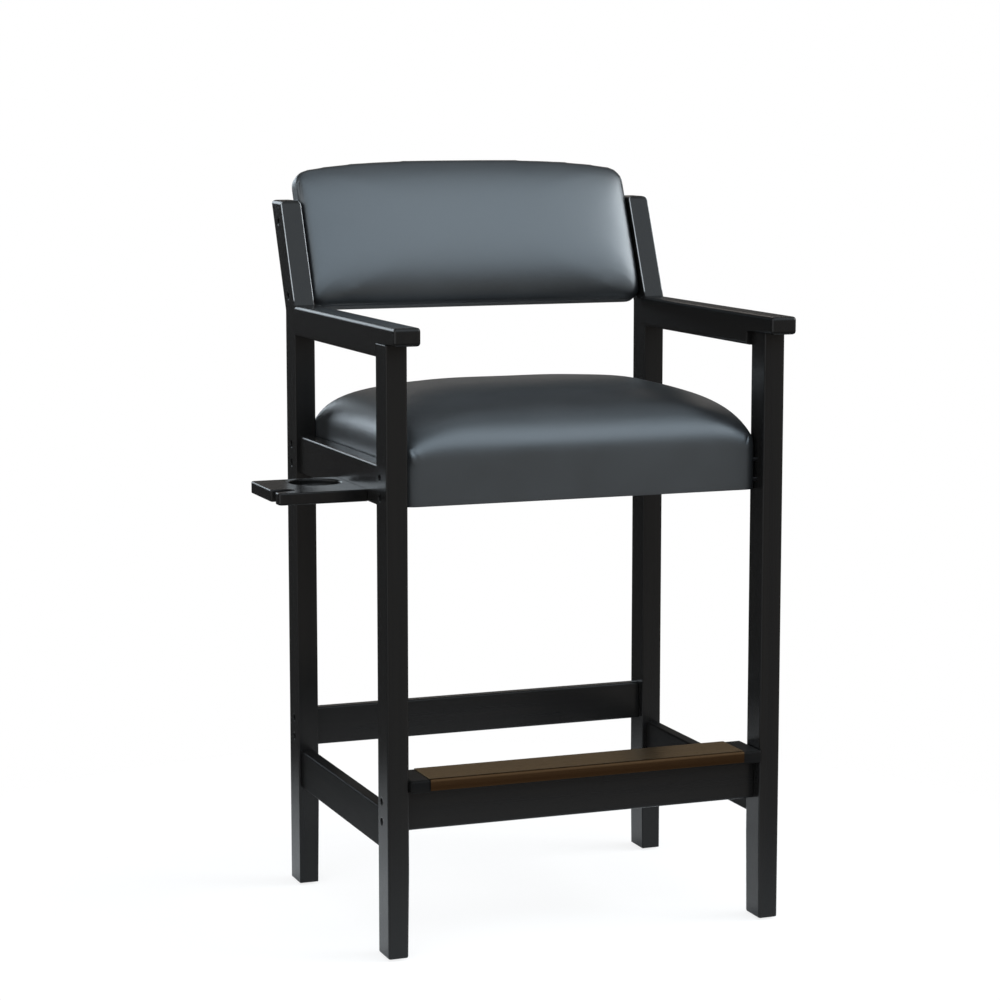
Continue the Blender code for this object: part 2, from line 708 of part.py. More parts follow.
def seat_surface(inset, bottom):
    """Rings of the seat's surface, drawn in by inset, from a level up to the crown."""
    low, high = SEAT_FRONT_Y + inset, SEAT_BACK_Y - inset
    half = SEAT_HALF - inset
    straight = soft_outline(half, low, high, SEAT_CORNER_R - inset, 0)
    drawn = soft_outline(half, low, high, SEAT_CORNER_R - inset, SEAT_PULL_IN)
    middle = (low + high) / 2
    crown = SEAT_CROWN - inset
    rings = [at_height(straight, level) for level in (bottom, SEAT_FOAM_BOTTOM + FIT)]
    rings += dome(drawn, middle, crown, lambda x, y: seat_edge_height(x, y) - inset)
    return rings, (0, middle, crown)


def build_seat_frame(seat):
    """Four boards on edge, the cross ones outside, with a glued block in each corner."""
    reach = SEAT_HALF - SEAT_LINING
    corner_x = reach - SEAT_SIDE_FRAME_T
    members = (("front", SEAT_FRONT_FRAME_Y, 1), ("back", SEAT_BACK_FRAME_Y, -1))
    for end, y, inward in members:
        bm = bmesh.new()
        low = (-reach, y - CROSS_T / 2, SEAT_FRAME_BOTTOM)
        add_box(bm, low, (reach, y + CROSS_T / 2, SEAT_FRAME_TOP))
        outer_y = y - inward * CROSS_T / 2
        corners = [e for e in bm.edges if lies_on(e, 1, outer_y) and not lies_on(e, 2, SEAT_FRAME_TOP)
                   and not lies_on(e, 2, SEAT_FRAME_BOTTOM)]
        round_edges(bm, corners, SEAT_CORNER_R - SEAT_LINING, CORNER_STEPS)
        make("seat_frame_" + end, bm, RAW_WOOD, seat, end_bolt_holes("seat_" + end))
        corner_y = y + inward * (CROSS_T / 2 + FIT)
        for word, side in SIDES.items():
            x = side * (corner_x - FIT)
            tips = [(x, corner_y), (x - side * CORNER_BLOCK_LEG, corner_y),
                    (x, corner_y + inward * CORNER_BLOCK_LEG)]
            bm = bmesh.new()
            levels = (SEAT_FRAME_TOP - CORNER_BLOCK_H, SEAT_FRAME_TOP)
            add_loft(bm, [at_height(tips, z) for z in levels])
            make(f"seat_corner_block_{end}_{word}", bm, RAW_WOOD, seat)
    front = SEAT_FRONT_FRAME_Y + CROSS_T / 2 + FIT
    back = SEAT_BACK_FRAME_Y - CROSS_T / 2 - FIT
    for word, side in SIDES.items():
        xs = sorted((side * corner_x, side * reach))
        bm = bmesh.new()
        add_box(bm, (xs[0], front, SEAT_FRAME_BOTTOM), (xs[1], back, SEAT_FRAME_TOP))
        make("seat_frame_" + word, bm, RAW_WOOD, seat)


def build_seat_cushion(seat):
    reach = SEAT_HALF - SEAT_LINING
    front, back = SEAT_FRONT_Y + SEAT_LINING, SEAT_BACK_Y - SEAT_LINING
    corner = SEAT_CORNER_R - SEAT_LINING
    lining = soft_outline(reach, front, back, corner, 0)

    bm = bmesh.new()
    add_loft(bm, [at_height(lining, z) for z in (SEAT_DECK_BOTTOM, SEAT_DECK_BOTTOM + SEAT_DECK_T)])
    make("seat_deck", bm, RAW_WOOD, seat)

    bm = bmesh.new()
    low = SEAT_BOTTOM + FIT
    add_loft(bm, [at_height(lining, z) for z in (low, low + DUST_COVER_T)])
    make("seat_dust_cover", bm, CAMBRIC, seat)

    bm = bmesh.new()
    add_cushion(bm, *seat_surface(SEAT_LINING, SEAT_FOAM_BOTTOM))
    make("seat_foam", bm, FOAM, seat)

    bm = bmesh.new()
    add_cover(bm, seat_surface(0, SEAT_BOTTOM), seat_surface(COVER_T, SEAT_BOTTOM))
    make("seat_cover", bm, LEATHER, seat, end_bolt_holes("seat_front", "seat_back"))


# Backrest, modelled in its tilted frame

def back_outline(inset, pull_in, top_drop=0.0):
    high = BACK_TOP_V - inset - top_drop
    return soft_outline(SEAT_HALF - inset, BACK_BOTTOM_V + inset, high, BACK_CORNER_R - inset,
                        pull_in, BACK_ARCH)


def back_surface(inset, rear):
    outline = back_outline(inset, BACK_PULL_IN)
    middle = (BACK_BOTTOM_V + BACK_TOP_V) / 2
    crown = BACK_CROWN_W - inset
    rings = [at_height(back_outline(inset, 0), level) for level in (rear, BACK_FOAM_REAR_W + FIT)]
    rings += dome(outline, middle, crown, lambda x, y: BACK_EDGE_W - inset / 2)
    return rings, (0, middle, crown)


def back_bolt_holes():
    holes = bmesh.new()
    add_end_bolt_holes(holes, [(v, BACK_CORE_W) for v in BACK_BOLT_V])
    return holes


def build_backrest(tilted):
    lining = back_outline(SEAT_LINING, 0)
    core = back_outline(SEAT_LINING, 0, BACK_CORE_TOP_DROP)

    bm = bmesh.new()
    add_loft(bm, [at_height(core, w) for w in (BACK_CORE_REAR_W, BACK_CORE_FRONT_W)])
    make("back_core", bm, RAW_WOOD, tilted, back_bolt_holes())

    bm = bmesh.new()
    add_cushion(bm, *back_surface(SEAT_LINING, BACK_FOAM_REAR_W))
    make("back_foam", bm, FOAM, tilted)

    bm = bmesh.new()
    add_loft(bm, [at_height(lining, w) for w in (BACK_REAR_W, BACK_PANEL_FRONT_W)])
    make("back_panel", bm, LEATHER, tilted)

    bm = bmesh.new()
    add_cover(bm, back_surface(0, BACK_REAR_W), back_surface(COVER_T, BACK_REAR_W))
    make("back_cover", bm, LEATHER, tilted, back_bolt_holes())


def build_bolts(chair):
    """Connector screws, with their heads sunk in the outer faces of the legs."""
    for joint, places in BOLTS.items():
        for word, side in SIDES.items():
            for level, place in zip(LEVELS, places):
                bm = bmesh.new()
                add_bolt(bm, side, place)
                make(f"{joint}_bolt_{word}_{level}", bm, STEEL, chair)


# Cup and cue holder

def holder_screw_places():
    """y of the screws, clear of the cup recess."""
    front = HOLDER_FRONT + HOLDER_SCREW_MARGIN
    back = HOLDER_FRONT + HOLDER_D - HOLDER_SCREW_MARGIN
    beside_cup = HOLDER_FRONT + HOLDER_D - CUP_FROM_BACK - CUP_R - HOLDER_SCREW_MARGIN
    return {"front": front, "middle": beside_cup, "back": back}


def holder_screw_line(y):
    """Head of a screw at the inner face of the left seat rail, and the way it points."""
    return (-INNER, y, SEAT_BOTTOM + HOLDER_SCREW_RISE), (-1, 0, 0)


def holder_screw_profile(grow=0.0, mouth=0.0):
    return [(-mouth, SCREW_HEAD_R + grow), (SCREW_HEAD_H, SCREW_R + grow),
            (HOLDER_SCREW_L + grow, SCREW_R + grow)]


def holder_screw_holes():
    holes = bmesh.new()
    for y in holder_screw_places().values():
        add_turned(holes, *holder_screw_line(y), holder_screw_profile(FIT, FIT), SMALL_SIDES)
    return holes


def holder_outline():
    """Plan of the holder: square at the rail, round outer corners, a cue notch in its end."""
    rail = -(SEAT_RAIL_OUTER + FIT)
    outer = -(SEAT_RAIL_OUTER + HOLDER_REACH)
    front, back = HOLDER_FRONT, HOLDER_FRONT + HOLDER_D
    r = HOLDER_CORNER_R
    notch_r = CUE_NOTCH_W / 2
    notch_y = front + CUE_NOTCH_FROM_FRONT
    notch_x = outer + CUE_NOTCH_DEPTH - notch_r
    lip = r / 2
    points = [(rail, front), (rail, back)]
    points += arc((outer + r, back - r), r, 90, 180, ROUND_STEPS)
    points += arc((outer + lip, notch_y + notch_r + lip), lip, 180, 270, EASE_STEPS)
    points += arc((notch_x, notch_y), notch_r, 90, -90, 2 * ROUND_STEPS)
    points += arc((outer + lip, notch_y - notch_r - lip), lip, 90, 180, EASE_STEPS)
    points += arc((outer + r, front + r), r, 180, 270, ROUND_STEPS)
    return points


def build_holder(chair):
    top = SEAT_BOTTOM + HOLDER_T
    rail = -(SEAT_RAIL_OUTER + FIT)
    bm = bmesh.new()
    add_loft(bm, [at_height(holder_outline(), z) for z in (SEAT_BOTTOM, top)])
    rims = [e for e in bm.edges if (lies_on(e, 2, top) or lies_on(e, 2, SEAT_BOTTOM))
            and not lies_on(e, 0, rail)]
    round_edges(bm, rims, HOLDER_EASE, EASE_STEPS)
    holes = holder_screw_holes()
    cup_y = HOLDER_FRONT + HOLDER_D - CUP_FROM_BACK
    cup = (-(SEAT_RAIL_OUTER + CUP_FROM_RAIL), cup_y, top - CUP_DEPTH)
    rim = arc((CUP_DEPTH - CUP_RIM_R, CUP_R + CUP_RIM_R), CUP_RIM_R, -90, 0, EASE_STEPS)
    profile = [(0, CUP_R - CUP_RIM_R), (CUP_RIM_R, CUP_R), *rim]
    profile.append((CUP_DEPTH + OVERCUT, CUP_R + CUP_RIM_R))
    add_turned(holes, cup, (0, 0, 1), profile, CUP_SIDES)
    make("cup_holder", bm, LACQUER, chair, holes)
    for word, y in holder_screw_places().items():
        bm = bmesh.new()
        add_turned(bm, *holder_screw_line(y), holder_screw_profile(), SMALL_SIDES)
        make("cup_holder_screw_" + word, bm, STEEL, chair)


def stand_on_origin(chair):
    """Move the whole chair so that the middle of its box stands on the origin."""
    bpy.context.view_layer.update()
    points = [obj.matrix_world @ vert.co
              for obj in bpy.data.objects if obj.type == "MESH" for vert in obj.data.vertices]
    low = Vector([min(p[i] for p in points) for i in range(3)])
    high = Vector([max(p[i] for p in points) for i in range(3)])
    chair.location = (-(low.x + high.x) / 2, -(low.y + high.y) / 2, -low.z)
    print("overall size", [round(high[i] - low[i], 4) for i in range(3)])
    print("chair moved by", [round(value, 5) for value in chair.location])


def main():
    clear_scene()
    chair = new_empty("chair")
    tilted = new_empty("backrest_tilt", chair)
    tilted.location = (0, BACK_LEG_Y, ARM_TOP)
    tilted.rotation_euler = (math.pi / 2 - POST_RAKE, 0, 0)
    build_side_frames(chair)
    build_stretchers(chair)
    build_foot_rest(chair)
    build_seat_frame(chair)
    build_seat_cushion(chair)
    build_backrest(tilted)
    build_bolts(chair)
    build_holder(chair)
    stand_on_origin(chair)


main()
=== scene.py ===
# %% [markdown]
# # Dressing a billiard spectator chair
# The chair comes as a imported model: sixty solids that already have their real sizes and places.
# This lesson gives every surface its finish, and turns the two plain upholstered solids into
# padded cushions. Nothing of the model is moved, so each step only adds looks.

import json
import math

import bmesh
import bpy
import numpy as np
from mathutils import Matrix, Vector
from mathutils.bvhtree import BVHTree


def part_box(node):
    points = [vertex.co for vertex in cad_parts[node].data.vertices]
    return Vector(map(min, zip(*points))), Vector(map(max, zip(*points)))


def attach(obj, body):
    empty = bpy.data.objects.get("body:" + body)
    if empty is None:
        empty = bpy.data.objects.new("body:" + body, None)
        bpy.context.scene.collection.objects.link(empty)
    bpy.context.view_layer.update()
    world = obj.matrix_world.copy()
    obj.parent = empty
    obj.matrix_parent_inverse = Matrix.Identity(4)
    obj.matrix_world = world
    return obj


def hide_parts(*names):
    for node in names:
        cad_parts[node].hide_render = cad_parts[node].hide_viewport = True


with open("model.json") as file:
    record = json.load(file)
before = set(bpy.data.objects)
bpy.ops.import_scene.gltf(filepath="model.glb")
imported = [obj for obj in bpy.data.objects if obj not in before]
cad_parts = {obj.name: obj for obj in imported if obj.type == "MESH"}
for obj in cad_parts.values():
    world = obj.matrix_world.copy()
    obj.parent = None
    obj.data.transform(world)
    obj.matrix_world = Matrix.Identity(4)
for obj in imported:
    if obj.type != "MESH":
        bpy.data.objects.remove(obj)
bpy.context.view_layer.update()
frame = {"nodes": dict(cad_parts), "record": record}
nodes = frame["nodes"]
print("pieces in the model:", len(nodes))

# %% [markdown]
# ## The camera
# A product photograph is taken from far away with a long lens, so that upright legs stay nearly
# parallel. The viewpoint is measured from two planes of the chair: the middle between the front
# legs, and the front of those legs. Taking both from the model keeps the view right if the
# chair's place in its box ever changes.

# %% Find the planes that the view is measured from
legs_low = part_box("front_leg_left")[0]
legs_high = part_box("front_leg_right")[1]
middle_x = (legs_low.x + legs_high.x) / 2
front_y = legs_low.y
print("middle plane", round(middle_x, 4), "front plane", round(front_y, 4))

# %% Place the camera
VIEW_POINT = Vector((-1.612, -3.840, 1.2565))   # from the middle and front planes, above the floor
VIEW_YAW = math.radians(20.94)
VIEW_PITCH = math.radians(7.99)
LENS = 102.3                                    # mm
SENSOR = 36                                     # mm, width of the sensor

camera_data = bpy.data.cameras.new("camera")
camera_data.sensor_width = SENSOR
camera_data.lens = LENS
camera = bpy.data.objects.new("camera", camera_data)
camera.location = VIEW_POINT + Vector((middle_x, front_y, 0))
camera.rotation_euler = (math.pi / 2 - VIEW_PITCH, 0, -VIEW_YAW)
bpy.context.scene.collection.objects.link(camera)
bpy.context.scene.camera = camera
print("camera at", [round(value, 3) for value in camera.location])

# %% [markdown]
# ## Building shaders in code
# A shader tree is a list of nodes and links. Two small helpers keep the recipes below readable:
# one adds a node and fills its inputs, linking those that are outputs of other nodes, and one
# starts a node group with named sockets. A group holds an effect that several finishes share.

# %% Helpers that write shader nodes
def add(tree, kind, inputs=None, **settings):
    """Add a shader node. An input that is another node's output is linked, others are set."""
    node = tree.nodes.new("ShaderNode" + kind)
    for name, value in settings.items():
        setattr(node, name, value)
    for name, value in (inputs or {}).items():
        if isinstance(value, bpy.types.NodeSocket):
            tree.links.new(value, node.inputs[name])
        else:
            node.inputs[name].default_value = value
    return node


def calculate(tree, operation, first, second=0.0):
    return add(tree, "Math", {0: first, 1: second}, operation=operation).outputs[0]


def remap(tree, value, low, high, new_low=0.0, new_high=1.0):
    spans = {"Value": value, "From Min": low, "From Max": high,
             "To Min": new_low, "To Max": new_high}
    return add(tree, "MapRange", spans).outputs["Result"]


def mix_colours(tree, factor, first, second):
    mix = add(tree, "Mix", {0: factor, 6: first, 7: second}, data_type="RGBA")
    return mix.outputs[2]


def noise(tree, vector, scale, detail=2.0, roughness=0.5):
    values = {"Vector": vector, "Scale": scale, "Detail": detail, "Roughness": roughness}
    return add(tree, "TexNoise", values).outputs["Fac"]


# %% Helpers that start a group and a material
SOCKETS = {"value": "NodeSocketFloat", "vector": "NodeSocketVector"}


def new_group(name, inputs, outputs):
    """A node group with named sockets. Returns it with its inputs and outputs by name."""
    group = bpy.data.node_groups.new(name, "ShaderNodeTree")
    for label, kind in inputs.items():
        group.interface.new_socket(label, in_out="INPUT", socket_type=SOCKETS[kind])
    for label, kind in outputs.items():
        group.interface.new_socket(label, in_out="OUTPUT", socket_type=SOCKETS[kind])
    start = group.nodes.new("NodeGroupInput")
    end = group.nodes.new("NodeGroupOutput")
    return group, start.outputs, end.inputs


def use_group(tree, group, inputs):
    return add(tree, "Group", inputs, node_tree=group).outputs


def new_material(name):
    material = bpy.data.materials.new(name)
    material.use_nodes = True
    tree = material.node_tree
    shader = tree.nodes["Principled BSDF"]
    place = add(tree, "TexCoord").outputs["Object"]
    return material, tree, shader, place


def stretched(tree, place, along_x, along_y, along_z):
    """Texture space with its own fineness, in features per metre, along each axis."""
    values = {"Vector": place, "Scale": (along_x, along_y, along_z)}
    return add(tree, "Mapping", values).outputs["Vector"]


print("shader helpers ready")

# %% [markdown]
# ## Rounded edges that catch light
# The sharp corners of the wood are eased on the real chair, and each shows as a thin bright line.
# The model's solids have a few flat strips there. The Bevel node bends the shading normal over a
# small radius, which rounds those strips without touching the mesh. Comparing the bent normal
# with the true one also finds the edges, where hands and cloths polish the lacquer a little.

# %% Group: eased edges
eased_edges, given, result = new_group(
    "eased edges", {"Radius": "value"}, {"Normal": "vector", "Edge": "value"})
bevel = add(eased_edges, "Bevel", {"Radius": given["Radius"]}, samples=6)
true_normal = add(eased_edges, "NewGeometry").outputs["True Normal"]
agreement = add(eased_edges, "VectorMath", {0: bevel.outputs[0], 1: true_normal},
                operation="DOT_PRODUCT").outputs["Value"]
eased_edges.links.new(bevel.outputs[0], result["Normal"])
eased_edges.links.new(remap(eased_edges, agreement, 0.999, 0.9), result["Edge"])
print("group:", eased_edges.name)

# %% [markdown]
# ## Wood grain
# Even under black lacquer, open pores leave short fine grooves along each board. A noise that is
# stretched along the grain gives pores and slow bands. Each board's material turns the stretch to
# its own direction: up the legs, along the arms and rails, across the stretchers.

# %% Group: wood grain
wood_grain, given, result = new_group(
    "wood grain", {"Vector": "vector"}, {"Pores": "value", "Bands": "value"})
pores = noise(wood_grain, given["Vector"], 1.0, 3.0, 0.6)
bands = noise(wood_grain, given["Vector"], 0.14, 2.0, 0.5)
wood_grain.links.new(remap(wood_grain, pores, 0.30, 0.62), result["Pores"])
wood_grain.links.new(remap(wood_grain, bands, 0.30, 0.70), result["Bands"])
print("group:", wood_grain.name)

# %% [markdown]
# ## A trace of dust
# Faces that look up hold a little dust, which greys black paint and dulls its shine. The mask is
# the upward part of the normal, broken up by a fine noise. Every finish of the chair uses it, in
# a small amount, because a black part without it looks like a hole in the picture.

# %% Group: settled dust
settled_dust, given, result = new_group(
    "settled dust", {"Vector": "vector", "Amount": "value"}, {"Dust": "value"})
facing = add(settled_dust, "NewGeometry").outputs["Normal"]
upward = add(settled_dust, "SeparateXYZ", {"Vector": facing}).outputs["Z"]
specks = remap(settled_dust, noise(settled_dust, given["Vector"], 240.0, 4.0, 0.7), 0.42, 0.75)
drift = remap(settled_dust, noise(settled_dust, given["Vector"], 9.0, 2.0, 0.5), 0.35, 0.70)
lying = calculate(settled_dust, "MULTIPLY", remap(settled_dust, upward, 0.5, 1.0), drift)
dust = calculate(settled_dust, "MULTIPLY", lying, specks)
settled_dust.links.new(calculate(settled_dust, "MULTIPLY", dust, given["Amount"]),
                       result["Dust"])
print("group:", settled_dust.name)

# %% [markdown]
# ## Black lacquer
# The frame is hardwood with a satin-gloss black lacquer. Its colour is almost nothing, so what
# shows is the reflection: a mid roughness that varies with the pores, and the bent normals from
# the group above. Shoes have dulled the foot board and the side stretchers, so these get a
# variant with hardly any gloss. The two front edges of each leaning post get a painted highlight:
# a thin pale line in the colour that stands for the shine of their eased edges. A mask picks
# these edges by height and by the direction in which they face.

# %% Lacquer, turned to each direction of the grain
LACQUER_BLACK = (0.0050, 0.0050, 0.0051, 1)
LACQUER_BROWN = (0.0066, 0.0063, 0.0060, 1)
DUST_GREY = (0.30, 0.30, 0.29, 1)
ALONG = 14.0            # pores per metre along the grain
ACROSS = 620.0          # and across it
EASE = 0.0024           # m, radius over which an edge is rounded
POLISH = 0.04           # how much smoother the lacquer is at an edge
SATIN_GLOSS = 0.185
SCUFFED = {"gloss": 0.03, "dulled": 0.20}
# Painted highlight: the pale grey drawn into the colour along the posts' front edges.
PAINTED_HIGHLIGHT_GREY = (0.34, 0.35, 0.36, 1)
HIGHLIGHT_LOW, HIGHLIGHT_HIGH = 0.944, 1.112      # m, heights between which the posts' front edges get the painted highlight
FADE_LOW, FADE_HIGH = 0.004, 0.008          # m, over which the painted highlight fades out at each end


def painted_edge_highlight(tree, place):
    """A mask of the strips along the front edges of the leaning posts, where a pale highlight is
    painted into the colour.
    """
    facing = add(tree, "SeparateXYZ",
                 {"Vector": add(tree, "NewGeometry").outputs["True Normal"]}).outputs
    aside = calculate(tree, "ABSOLUTE", facing["X"])
    strip = calculate(tree, "MULTIPLY", remap(tree, aside, 0.20, 0.30),
                      remap(tree, aside, 0.98, 0.95))
    strip = calculate(tree, "MULTIPLY", strip, remap(tree, facing["Y"], -0.20, -0.30))
    height = add(tree, "SeparateXYZ", {"Vector": place}).outputs["Z"]
    strip = calculate(tree, "MULTIPLY", strip,
                      remap(tree, height, HIGHLIGHT_LOW, HIGHLIGHT_LOW + FADE_LOW))
    return calculate(tree, "MULTIPLY", strip,
                     remap(tree, height, HIGHLIGHT_HIGH, HIGHLIGHT_HIGH - FADE_HIGH))


def make_lacquer(name, fineness, gloss=SATIN_GLOSS, dulled=0.0, painted_highlight=False):
    material, tree, shader, place = new_material(name)
    grain = use_group(tree, wood_grain, {"Vector": stretched(tree, place, *fineness)})
    edges = use_group(tree, eased_edges, {"Radius": EASE})
    dust = use_group(tree, settled_dust, {"Vector": place, "Amount": 0.03})["Dust"]
    paint = mix_colours(tree, grain["Bands"], LACQUER_BLACK, LACQUER_BROWN)
    paint = mix_colours(tree, dust, paint, DUST_GREY)
    # Painted highlight: a pale line mixed into the colour along the posts' front edges.
    if painted_highlight:
        paint = mix_colours(tree, painted_edge_highlight(tree, place), paint, PAINTED_HIGHLIGHT_GREY)
    rough = remap(tree, grain["Pores"], 0.0, 1.0, 0.26 + dulled, 0.23 + dulled)
    rough = calculate(tree, "SUBTRACT", rough, calculate(tree, "MULTIPLY", edges["Edge"], POLISH))
    bump = add(tree, "Bump", {"Height": grain["Pores"], "Normal": edges["Normal"],
                              "Strength": 0.02, "Distance": 0.0002})
    tree.links.new(paint, shader.inputs["Base Color"])
    tree.links.new(rough, shader.inputs["Roughness"])
    tree.links.new(bump.outputs["Normal"], shader.inputs["Normal"])
    shader.inputs["Specular IOR Level"].default_value = gloss
    return material


lacquer_upright = make_lacquer("lacquer_upright", (ACROSS, ACROSS, ALONG))
# The posts' lacquer, with a painted highlight along their front edges.
lacquer_posts_painted_highlight = make_lacquer("lacquer_posts_painted_highlight", (ACROSS, ACROSS, ALONG), painted_highlight=True)
lacquer_lengthwise = make_lacquer("lacquer_lengthwise", (ACROSS, ALONG, ACROSS))
lacquer_crosswise = make_lacquer("lacquer_crosswise", (ALONG, ACROSS, ACROSS))
scuffed_lengthwise = make_lacquer("scuffed_lengthwise", (ACROSS, ALONG, ACROSS), **SCUFFED)
scuffed_crosswise = make_lacquer("scuffed_crosswise", (ALONG, ACROSS, ACROSS), **SCUFFED)
print("lacquers:", lacquer_upright.name, lacquer_posts_painted_highlight.name, lacquer_lengthwise.name,
      lacquer_crosswise.name, scuffed_lengthwise.name, scuffed_crosswise.name)

# %% [markdown]
# ## Faux leather
# The seat and the back are covered in charcoal vinyl with a fine pressed grain: shallow cells
# about a millimetre across with thin valleys between them. A cell texture whose borders are
# warped by noise gives the valleys, a finer noise gives the tooth of each cell, and a slow noise
# lets the sheen and the colour wander over the panel.

# %% Group: hide grain
hide_grain, given, result = new_group(
    "hide grain", {"Vector": "vector", "Cells": "value"},
    {"Height": "value", "Valleys": "value", "Wander": "value"})
warp = add(hide_grain, "TexNoise", {"Vector": given["Vector"], "Scale": 300.0, "Detail": 2.0})
warp_step = add(hide_grain, "VectorMath", {0: warp.outputs["Color"], 1: (0.0012,) * 3},
                operation="MULTIPLY").outputs["Vector"]
warped = add(hide_grain, "VectorMath", {0: given["Vector"], 1: warp_step}).outputs["Vector"]
cells = add(hide_grain, "TexVoronoi", {"Vector": warped, "Scale": given["Cells"]},
            feature="DISTANCE_TO_EDGE").outputs["Distance"]
pebble = remap(hide_grain, cells, 0.0, 0.22)
tooth = noise(hide_grain, given["Vector"], 2600.0, 2.0, 0.6)
height = calculate(hide_grain, "ADD", pebble, calculate(hide_grain, "MULTIPLY", tooth, 0.35))
hide_grain.links.new(height, result["Height"])
hide_grain.links.new(remap(hide_grain, cells, 0.10, 0.0), result["Valleys"])
hide_grain.links.new(remap(hide_grain, noise(hide_grain, given["Vector"], 13.0, 3.0, 0.55),
                           0.30, 0.70), result["Wander"])
print("group:", hide_grain.name)

# %% Charcoal leather
HIDE_LIGHT = (0.0125, 0.0130, 0.0138, 1)
HIDE_DARK = (0.0095, 0.0098, 0.0104, 1)
HIDE_VALLEY = (0.006, 0.006, 0.006, 1)


def make_leather(name, cells, ease):
    material, tree, shader, place = new_material(name)
    grain = use_group(tree, hide_grain, {"Vector": place, "Cells": cells})
    dust = use_group(tree, settled_dust, {"Vector": place, "Amount": 0.05})["Dust"]
    dye = mix_colours(tree, grain["Wander"], HIDE_DARK, HIDE_LIGHT)
    dye = mix_colours(tree, grain["Valleys"], dye, HIDE_VALLEY)
    dye = mix_colours(tree, dust, dye, DUST_GREY)
    rough = remap(tree, grain["Wander"], 0.0, 1.0, 0.33, 0.38)
    rough = calculate(tree, "ADD", rough, calculate(tree, "MULTIPLY", grain["Valleys"], 0.12))
    bump = add(tree, "Bump", {"Height": grain["Height"], "Strength": 0.18, "Distance": 0.0002})
    if ease:
        edges = use_group(tree, eased_edges, {"Radius": ease})
        tree.links.new(edges["Normal"], bump.inputs["Normal"])
    tree.links.new(dye, shader.inputs["Base Color"])
    tree.links.new(rough, shader.inputs["Roughness"])
    tree.links.new(bump.outputs["Normal"], shader.inputs["Normal"])
    shader.inputs["Specular IOR Level"].default_value = 0.95
    shader.inputs["Specular Tint"].default_value = (0.84, 0.93, 1.0, 1)
    return material


cushion_leather = make_leather("cushion_leather", 820.0, 0.0)
panel_leather = make_leather("panel_leather", 820.0, 0.0015)
print("leathers:", cushion_leather.name, panel_leather.name)

# %% [markdown]
# ## Brushed metal
# The kick plate is thin metal with a dark bronze finish, brushed along its length, and the screws
# are black steel turned on a lathe. Both show fine parallel lines, so one group draws them; each
# finish decides in which direction they run and how deep they are.

# %% Group: brushed lines
brushed_lines, given, result = new_group(
    "brushed lines", {"Vector": "vector"}, {"Lines": "value", "Stain": "value"})
lines = noise(brushed_lines, given["Vector"], 1.0, 4.0, 0.65)
stain = noise(brushed_lines, given["Vector"], 0.03, 3.0, 0.6)
brushed_lines.links.new(remap(brushed_lines, lines, 0.30, 0.70), result["Lines"])
brushed_lines.links.new(remap(brushed_lines, stain, 0.30, 0.70), result["Stain"])
print("group:", brushed_lines.name)

# %% Bronze plate and dark steel
BRONZE_EDGE = (1.0, 0.90, 0.74, 1)      # colour of the metals' shine at a flat angle
STEEL_EDGE = (1.0, 1.0, 1.0, 1)


def make_brushed(name, fineness, dark, bright, roughness, ease, flat_shine):
    material, tree, shader, place = new_material(name)
    brushed = use_group(tree, brushed_lines, {"Vector": stretched(tree, place, *fineness)})
    edges = use_group(tree, eased_edges, {"Radius": ease})
    dust = use_group(tree, settled_dust, {"Vector": place, "Amount": 0.06})["Dust"]
    metal = mix_colours(tree, brushed["Stain"], dark, bright)
    metal = mix_colours(tree, calculate(tree, "MULTIPLY", brushed["Lines"], 0.25), metal, bright)
    metal = mix_colours(tree, dust, metal, DUST_GREY)
    rough = remap(tree, brushed["Lines"], 0.0, 1.0, roughness + 0.08, roughness - 0.06)
    bump = add(tree, "Bump", {"Height": brushed["Lines"], "Normal": edges["Normal"],
                              "Strength": 0.12, "Distance": 0.0001})
    tree.links.new(metal, shader.inputs["Base Color"])
    tree.links.new(rough, shader.inputs["Roughness"])
    tree.links.new(bump.outputs["Normal"], shader.inputs["Normal"])
    shader.inputs["Metallic"].default_value = 1.0
    shader.inputs["Specular Tint"].default_value = flat_shine
    return material


brushed_bronze = make_brushed("brushed_bronze", (25.0, 2400.0, 2400.0), (0.038, 0.020, 0.009, 1),
                              (0.058, 0.033, 0.016, 1), 0.30, 0.001, BRONZE_EDGE)
black_steel = make_brushed("black_steel", (900.0, 900.0, 900.0), (0.03, 0.03, 0.032, 1),
                           (0.10, 0.10, 0.105, 1), 0.30, 0.0005, STEEL_EDGE)
print("metals:", brushed_bronze.name, black_steel.name)

# %% [markdown]
# ## Finishes that hardly show
# Under the seat there are raw boards, a plywood deck, foam and a black dust cloth, and under each
# leg a nylon glide. They are seen only from below or when the chair is taken apart, but each
# still gets the texture of its real stuff.

# %% Raw wood
def make_bare_wood():
    material, tree, shader, place = new_material("bare_wood")
    grain = use_group(tree, wood_grain, {"Vector": stretched(tree, place, 9.0, 160.0, 160.0)})
    dust = use_group(tree, settled_dust, {"Vector": place, "Amount": 0.2})["Dust"]
    wood = mix_colours(tree, grain["Bands"], (0.40, 0.27, 0.15, 1), (0.52, 0.38, 0.23, 1))
    wood = mix_colours(tree, calculate(tree, "MULTIPLY", grain["Pores"], 0.5), wood,
                       (0.33, 0.21, 0.11, 1))
    wood = mix_colours(tree, dust, wood, DUST_GREY)
    bump = add(tree, "Bump", {"Height": grain["Pores"], "Strength": 0.3, "Distance": 0.0003})
    tree.links.new(wood, shader.inputs["Base Color"])
    tree.links.new(remap(tree, grain["Pores"], 0.0, 1.0, 0.62, 0.75), shader.inputs["Roughness"])
    tree.links.new(bump.outputs["Normal"], shader.inputs["Normal"])
    return material


bare_wood = make_bare_wood()
print("finish:", bare_wood.name)

